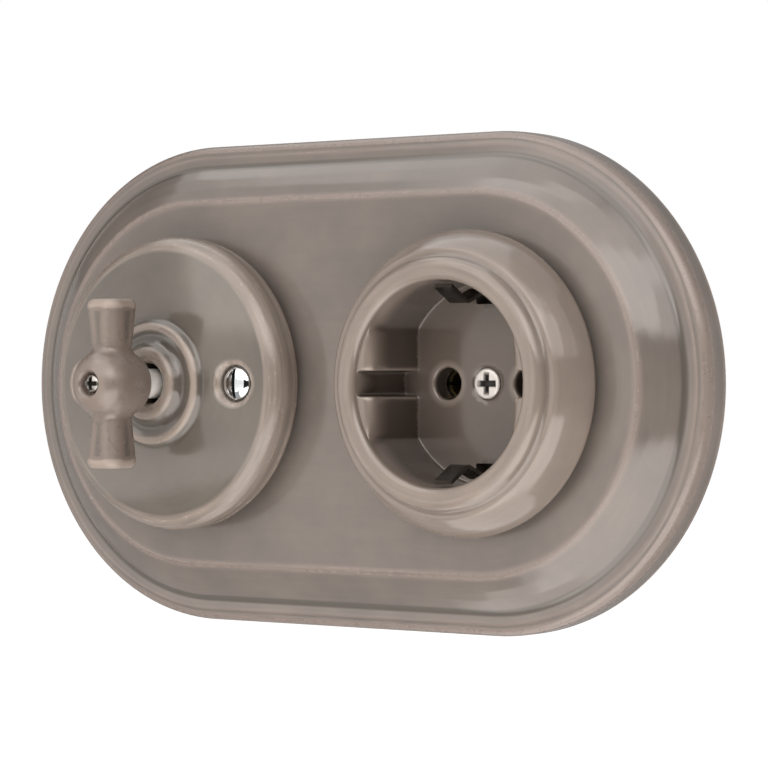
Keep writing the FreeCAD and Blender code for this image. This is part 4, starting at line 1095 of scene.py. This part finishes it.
            # Each hole darkens as painted shade with its depth below the floor
            depth = (floor - drill[:, 1]) / hole_shade_depth
            shade = np.clip(0.4 * bend_marks(drill) + floor_shade_mark - depth, -1.0, 1.0)
            shell.grid(lathe(drill, SOCKET_X + x, around), shade[:, None])
            upper.append(circle(SOCKET_X + x, 0.0, drill[0, 0], around))
            lower.append(circle(SOCKET_X + x, 0.0, drill[-1, 0], around))
        for sign in (-1.0, 1.0):
            near, far, half = sign * given.slot_near, sign * given.slot_far, given.slot_half
            corners = [(x, up, slot_round)
                       for x, up in ((half, near), (half, far), (-half, far), (-half, near))]
            slot = rounded_profile([(0.0, near), *corners, (0.0, near)], profile_spacing)[:-1]
            slot = slot + (SOCKET_X, 0.0)
            levels = np.linspace(floor, bottom, 5)[:, None]
            # The slot's walls are darkened fully as painted shade
            shell.grid(stand(slot[:, 0], slot[:, 1], levels), DARKEST_MARK)
            upper.append(slot)
            lower.append(slot)
        shell.patch(upper, floor_spacing, floor, floor_shade_mark)
        shell.patch(lower, BROAD_NET, bottom)
        piece = shell.build("porcelain_socket_cover", HARD_EDGE)
        finish = glaze("Socket Glaze", colours.socket_glaze, colours.thin_glaze, colours.well_glaze_and_shade, 0.44,
                       SOCKET_X, SOCKET_X)
        dress(piece, "unit", "cover_glaze", finish, "socket_cover")
        return {"FINISHED"}


class OBJECT_OT_cross_screws(bpy.types.Operator):
    """Cross-recess screws of the knob and the socket"""
    bl_idname = "object.porcelain_cross_screws"
    bl_label = "Cross Screws"

    def screw(self, name, x, head, shank, given):
        """A turned head, its face lowered by a cross. head and shank are profiles (r, h) from the middle of
        the face to its rim and from there to the tip. Across an arm the cross falls along a smooth step, and
        towards the arm's end it rises evenly."""
        turn = ring_angles(144)
        radius = head[-1, 0]
        across = head[:, :1] * np.cos(turn) / radius
        up = head[:, :1] * np.sin(turn) / radius
        sink = np.zeros_like(up)
        for along, aside in ((across, up), (up, across)):
            side = np.clip((1.0 - np.abs(aside) / given.arm_half) / 0.4, 0.0, 1.0)
            end = np.clip((1.0 - np.abs(along) / given.arm) / 0.5, 0.0, 1.0)
            sink = np.maximum(sink, np.minimum(side ** 2 * (3.0 - 2.0 * side), end))
        face = stand(x + radius * across, radius * up, head[:, 1:] - given.depth * radius * sink)
        shell = Shell()
        # The cross's mark darkens it as painted shade
        shell.grid(face, -sink)
        shell.grid(lathe(shank, x, turn))
        return shell.build(name, SCREW_EDGE)

    def execute(self, context):
        given = context.scene.porcelain_screws
        colours = context.scene.porcelain_colours
        rings = np.linspace(0.0, 1.0, 49)
        spacing, rim_power, pan_power = 0.001, 12, 2.6
        # Countersunk head: a level face with a small rounding, and a cone to the shank
        top, tip = -CENTRE_SCREW_LOW.y, -CENTRE_SCREW_HIGH.y
        rim = top - given.centre_rise - given.centre_rise / 2
        neck = rim - (given.centre_radius - given.centre_shank)
        flat = (1.0 - rings ** rim_power) ** 0.5
        face = np.stack([given.centre_radius * rings, rim + (top - rim) * flat], axis=1)
        shank = rounded_profile([(given.centre_radius, rim), (given.centre_shank, neck),
                                 (given.centre_shank, tip, 0.0004), (0.0, tip)], spacing)
        piece = self.screw("socket_centre_screw", SOCKET_X, face, shank, given)
        nickel = metal("Satin Nickel", colours.nickel, 0.8, 0.5, 0.34, 0.35, EDGE_AND_SHADE_MARK)
        dress(piece, "unit", "zinc_steel", nickel, "centre_screw")
        # Pan head: the rim falls along a superellipse
        top, tip = -KNOB_SCREW_LOW.y, -KNOB_SCREW_HIGH.y
        seat = top - given.knob_rise
        pan = (1.0 - rings ** pan_power) ** (1 / pan_power)
        face = np.stack([given.knob_radius * rings, seat + given.knob_rise * pan], axis=1)
        shank = rounded_profile([(given.knob_radius, seat), (given.knob_shank, seat),
                                 (given.knob_shank, tip, 0.0003), (0.0, tip)], spacing)
        piece = self.screw("knob_cross_screw", SWITCH_X, face, shank, given)
        dark = scaled(colours.nickel, 0.42)
        steel = metal("Dark Screw Steel", dark, 0.524, 0.4, 0.22, mark=EDGE_AND_SHADE_MARK)
        dress(piece, "knob", "zinc_steel", steel, "knob_screw")
        return {"FINISHED"}


class OBJECT_OT_mechanism_finishes(bpy.types.Operator):
    """Finishes of the carried-over CAD pieces"""
    bl_idname = "object.porcelain_mechanism_finishes"
    bl_label = "Mechanism Finishes"

    def execute(self, context):
        colours = context.scene.porcelain_colours
        zinc = metal("Zinc Steel", colours.zinc, 0.7, 0.7, 0.24)
        brass = metal("Brass", colours.brass, 0.55, 0.6, 0.22)
        tarnished = metal("Tarnished Brass", scaled(colours.brass, 0.14), 0.4286, 0.8, 0.5)
        spring = metal("Spring Steel", colours.spring, 0.6, 0.5, 0.26)
        earth = metal("Earth Metal", colours.earth, 0.55, 0.7, 0.28)
        white = fired_body("White Ceramic", colours.white_ceramic, 0.72, 0.55)
        spindle = fired_body("Spindle Ceramic", colours.spindle, 0.82, 0.3)
        thermoset = fired_body("Dark Thermoset", colours.thermoset, 2.0, 0.42)
        finishes = {
            zinc: ("switch_ring", "socket_ring", "switch_base_screws", "socket_base_screws",
                   "bearing_bar", "bearing_screws", "earth_screw", "switch_terminal_screws",
                   "socket_terminal_screws", "cover_pillars"),
            brass: ("contact_bridge", "line_contact", "load_contact", "centre_bush"),
            tarnished: ("left_pin_contact", "right_pin_contact"),
            spring: ("retaining_clip", "detent_springs"),
            earth: ("earth_strap",),
            white: ("switch_base", "socket_base"),
            spindle: ("spindle",),
            thermoset: ("cam",),
        }
        for material, nodes in finishes.items():
            for node in nodes:
                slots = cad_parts[node].data.materials
                slots.clear()
                slots.append(material)
        return {"FINISHED"}


class OBJECT_OT_studio_stage(bpy.types.Operator):
    """Floor, soft light and camera"""
    bl_idname = "object.porcelain_studio_stage"
    bl_label = "Studio Stage"

    def lamp(self, name, place, aim, width, height, power, mirrored=True, lights=True):
        """Soft rectangular lamp that looks from a place at an aim. A mirrored one shows in reflections, and
        one that doesn't light shows only there."""
        light = bpy.data.lights.new(name, "AREA")
        light.shape = "RECTANGLE"
        light.size = width
        light.size_y = height
        light.energy = power
        holder = bpy.data.objects.new(name, light)
        facing = (Vector(aim) - Vector(place)).to_track_quat("-Z", "Y")
        holder.matrix_world = Matrix.Translation(place) @ facing.to_matrix().to_4x4()
        bpy.context.collection.objects.link(holder)
        holder.visible_camera = False
        holder.visible_glossy = mirrored
        holder.visible_diffuse = lights

    def shown(self, tree):
        """1 where the camera, a reflection or glass looks, and 0 for scattered light."""
        seen = tree.nodes.new("ShaderNodeLightPath").outputs
        return combine(tree, "MAXIMUM", seen["Is Camera Ray"], combine(
            tree, "MAXIMUM", seen["Is Glossy Ray"], seen["Is Transmission Ray"]))

    def world(self, context, ambient):
        """White to the camera and in reflections, and a plain level of light from all around."""
        world = bpy.data.worlds.new("Studio White")
        world.use_nodes = True
        tree = world.node_tree
        strength = combine(tree, "ADD", combine(tree, "MULTIPLY", self.shown(tree), 1.0 - ambient), ambient)
        background = tree.nodes["Background"]
        background.inputs["Color"].default_value = (1.0, 1.0, 1.0, 1.0)
        tree.links.new(strength, background.inputs["Strength"])
        context.scene.world = world

    def sheet(self, name, points, faces, tone, roughness):
        """Sheet of the stage in a matt grey that can glow white; gives the object and its material."""
        mesh = bpy.data.meshes.new(name)
        mesh.from_pydata(points.reshape(-1, 3).tolist(), [], faces)
        holder = bpy.data.objects.new(name, mesh)
        bpy.context.collection.objects.link(holder)
        material = bpy.data.materials.new(name)
        material.use_nodes = True
        shader = material.node_tree.nodes["Principled BSDF"]
        for label, value in (("Base Color", (tone, tone, tone, 1.0)), ("Roughness", roughness),
                             ("Specular IOR Level", 0.0), ("Emission Color", (1.0, 1.0, 1.0, 1.0))):
            shader.inputs[label].default_value = value
        mesh.materials.append(material)
        return holder, material

    def flag(self, name, first, last, near, far, shade):
        """Grey screen about the unit that only reflections see. It sweeps round the upright from the angle
        first to last, in degrees from straight in front, between two points (reach, height)."""
        columns = 41
        turn = np.radians(np.linspace(first, last, columns))
        reach, rows = (np.array(pair)[:, None] for pair in zip(near, far))
        points = np.stack(np.broadcast_arrays(reach * np.sin(turn), -reach * np.cos(turn), rows), axis=-1)
        index = np.arange(2 * columns).reshape(2, columns)
        quads = np.stack([index[0, :-1], index[0, 1:], index[1, 1:], index[1, :-1]], axis=-1)
        wall, material = self.sheet(name, points, quads.tolist(), 0.012, 1.0)
        shader = material.node_tree.nodes["Principled BSDF"]
        shader.inputs["Emission Strength"].default_value = shade
        wall.visible_camera = False
        wall.visible_diffuse = False
        wall.visible_shadow = False

    def floor(self, height):
        """Wide pale floor: diffuse, so that it keeps shadows, lifted to white where it is seen, and clear
        from below."""
        reach = 6.0
        across, along = np.meshgrid((-reach, reach), (-reach, reach))
        points = np.stack([across, along, np.full_like(across, height)], axis=-1)
        floor, material = self.sheet("studio_floor", points, [(0, 1, 3, 2)], 0.86, 0.9)
        tree = material.node_tree
        shader = tree.nodes["Principled BSDF"]
        tree.links.new(self.shown(tree), shader.inputs["Emission Strength"])
        sides = tree.nodes.new("ShaderNodeNewGeometry")
        tree.links.new(combine(tree, "SUBTRACT", 1.0, sides.outputs["Backfacing"]), shader.inputs["Alpha"])

    def execute(self, context):
        given = context.scene.porcelain_studio
        scene = context.scene
        scene.view_settings.view_transform = "Standard"
        self.world(context, given.ambient)
        ground = given.floor_height
        self.floor(ground)
        middle = (0.0, 0.0, 0.0)
        self.lamp("front_softbox", (0.06, -0.77, 0.64), middle, 1.6, 1.1, 8.8)
        self.lamp("front_fill", (-0.35, -1.15, 0.0), middle, 1.0, 1.0, 3.6, mirrored=False)
        self.lamp("low_fill", (-0.05, -0.32, ground + 0.01), (-0.05, -0.319, 0.0), 1.0, 0.5, 0.75,
                  mirrored=False)
        self.lamp("right_softbox", (0.55, -0.61, 0.48), middle, 1.0, 0.5, 2.6, lights=False)
        self.lamp("top_softbox", (-0.30, -0.10, 0.95), middle, 1.0, 0.8, 2.5)
        self.lamp("low_softbox", (0.38, -0.42, ground + 0.004), (0.38, -0.419, 0.0), 0.8, 0.7, 2.4)
        self.lamp("back_fill", (0.25, 1.10, 0.45), middle, 1.0, 1.0, 5.0, mirrored=False)
        self.lamp("rim_softbox", (0.85, 0.35, 0.0), (0.05, 0.0, 0.0), 0.5, 0.5, 2.6, mirrored=False)
        # Upright flags stand at one reach from the unit, and low ones lie on the floor from near it to there
        near, reach, low, left_top, right_top = 0.12, 0.75, ground + 0.006, 0.16, 0.21
        left_back, left_front, right_back = -135.0, -75.0, 225.0
        self.flag("front_flag", 5.0, 124.0, (reach, low), (reach, right_top), 0.0)
        self.flag("side_flag", 124.0, right_back, (reach, low), (reach, right_top), 0.45)
        self.flag("side_top_flag", 100.0, right_back, (reach, right_top), (reach, 0.95), 0.35)
        self.flag("side_ground_flag", 75.0, right_back, (near, low), (reach, low), 0.35)
        self.flag("left_flag", left_back, left_front, (reach, low), (reach, left_top), 0.35)
        self.flag("left_top_flag", left_back, left_front, (reach, left_top), (reach, 0.66), 0.05)
        self.flag("ground_flag", left_back, -20.0, (near, low), (reach, low), 0.4)
        level = math.cos(given.camera_tilt)
        back = Vector((math.sin(given.camera_turn) * level, -math.cos(given.camera_turn) * level,
                       math.sin(given.camera_tilt)))
        lens = bpy.data.cameras.new("photo_camera")
        lens.lens = given.camera_lens
        lens.sensor_width = SENSOR_WIDTH
        lens.clip_start = 0.01
        camera = bpy.data.objects.new("photo_camera", lens)
        target = Vector(CAMERA_TARGET)
        camera.matrix_world = (Matrix.Translation(target + back * given.camera_distance)
                               @ (-back).to_track_quat("-Z", "Y").to_matrix().to_4x4())
        bpy.context.collection.objects.link(camera)
        scene.camera = camera
        return {"FINISHED"}


OPERATORS = (
    OBJECT_OT_double_frame,
    OBJECT_OT_switch_cover,
    OBJECT_OT_cover_screws,
    OBJECT_OT_turn_knob,
    OBJECT_OT_socket_cover,
    OBJECT_OT_cross_screws,
    OBJECT_OT_mechanism_finishes,
    OBJECT_OT_studio_stage,
)

SETTINGS = {
    "porcelain_frame": PorcelainFrameSizes,
    "porcelain_switch": SwitchCoverSizes,
    "porcelain_knob": TurnKnobSizes,
    "porcelain_socket": SocketCoverSizes,
    "porcelain_screws": CrossScrewSizes,
    "porcelain_colours": FinishColours,
    "porcelain_studio": StudioSettings,
}


class VIEW3D_PT_porcelain_unit(bpy.types.Panel):
    """Buttons and sizes of the porcelain unit"""
    bl_label = "Porcelain Unit"
    bl_idname = "VIEW3D_PT_porcelain_unit"
    bl_space_type = "VIEW_3D"
    bl_region_type = "UI"
    bl_category = "Porcelain Unit"

    def draw(self, context):
        for operator in OPERATORS:
            self.layout.operator(operator.bl_idname)
        for name in SETTINGS:
            column = self.layout.box().column()
            settings = getattr(context.scene, name)
            for label in settings.__annotations__:
                column.prop(settings, label)


def register():
    """Register the classes and hang the settings on the scene."""
    for settings in SETTINGS.values():
        bpy.utils.register_class(settings)
    for kind in (*OPERATORS, VIEW3D_PT_porcelain_unit):
        bpy.utils.register_class(kind)
    for name, settings in SETTINGS.items():
        setattr(bpy.types.Scene, name, PointerProperty(type=settings))


def unregister():
    """Take the settings and classes away again."""
    for name in SETTINGS:
        delattr(bpy.types.Scene, name)
    for kind in (VIEW3D_PT_porcelain_unit, *reversed(OPERATORS), *SETTINGS.values()):
        bpy.utils.unregister_class(kind)


def main():
    """Build every piece and set the stage."""
    register()
    bpy.ops.object.porcelain_double_frame()
    bpy.ops.object.porcelain_switch_cover()
    bpy.ops.object.porcelain_cover_screws()
    bpy.ops.object.porcelain_turn_knob()
    bpy.ops.object.porcelain_socket_cover()
    bpy.ops.object.porcelain_cross_screws()
    bpy.ops.object.porcelain_mechanism_finishes()
    bpy.ops.object.porcelain_studio_stage()


if __name__ == "__main__":
    main()
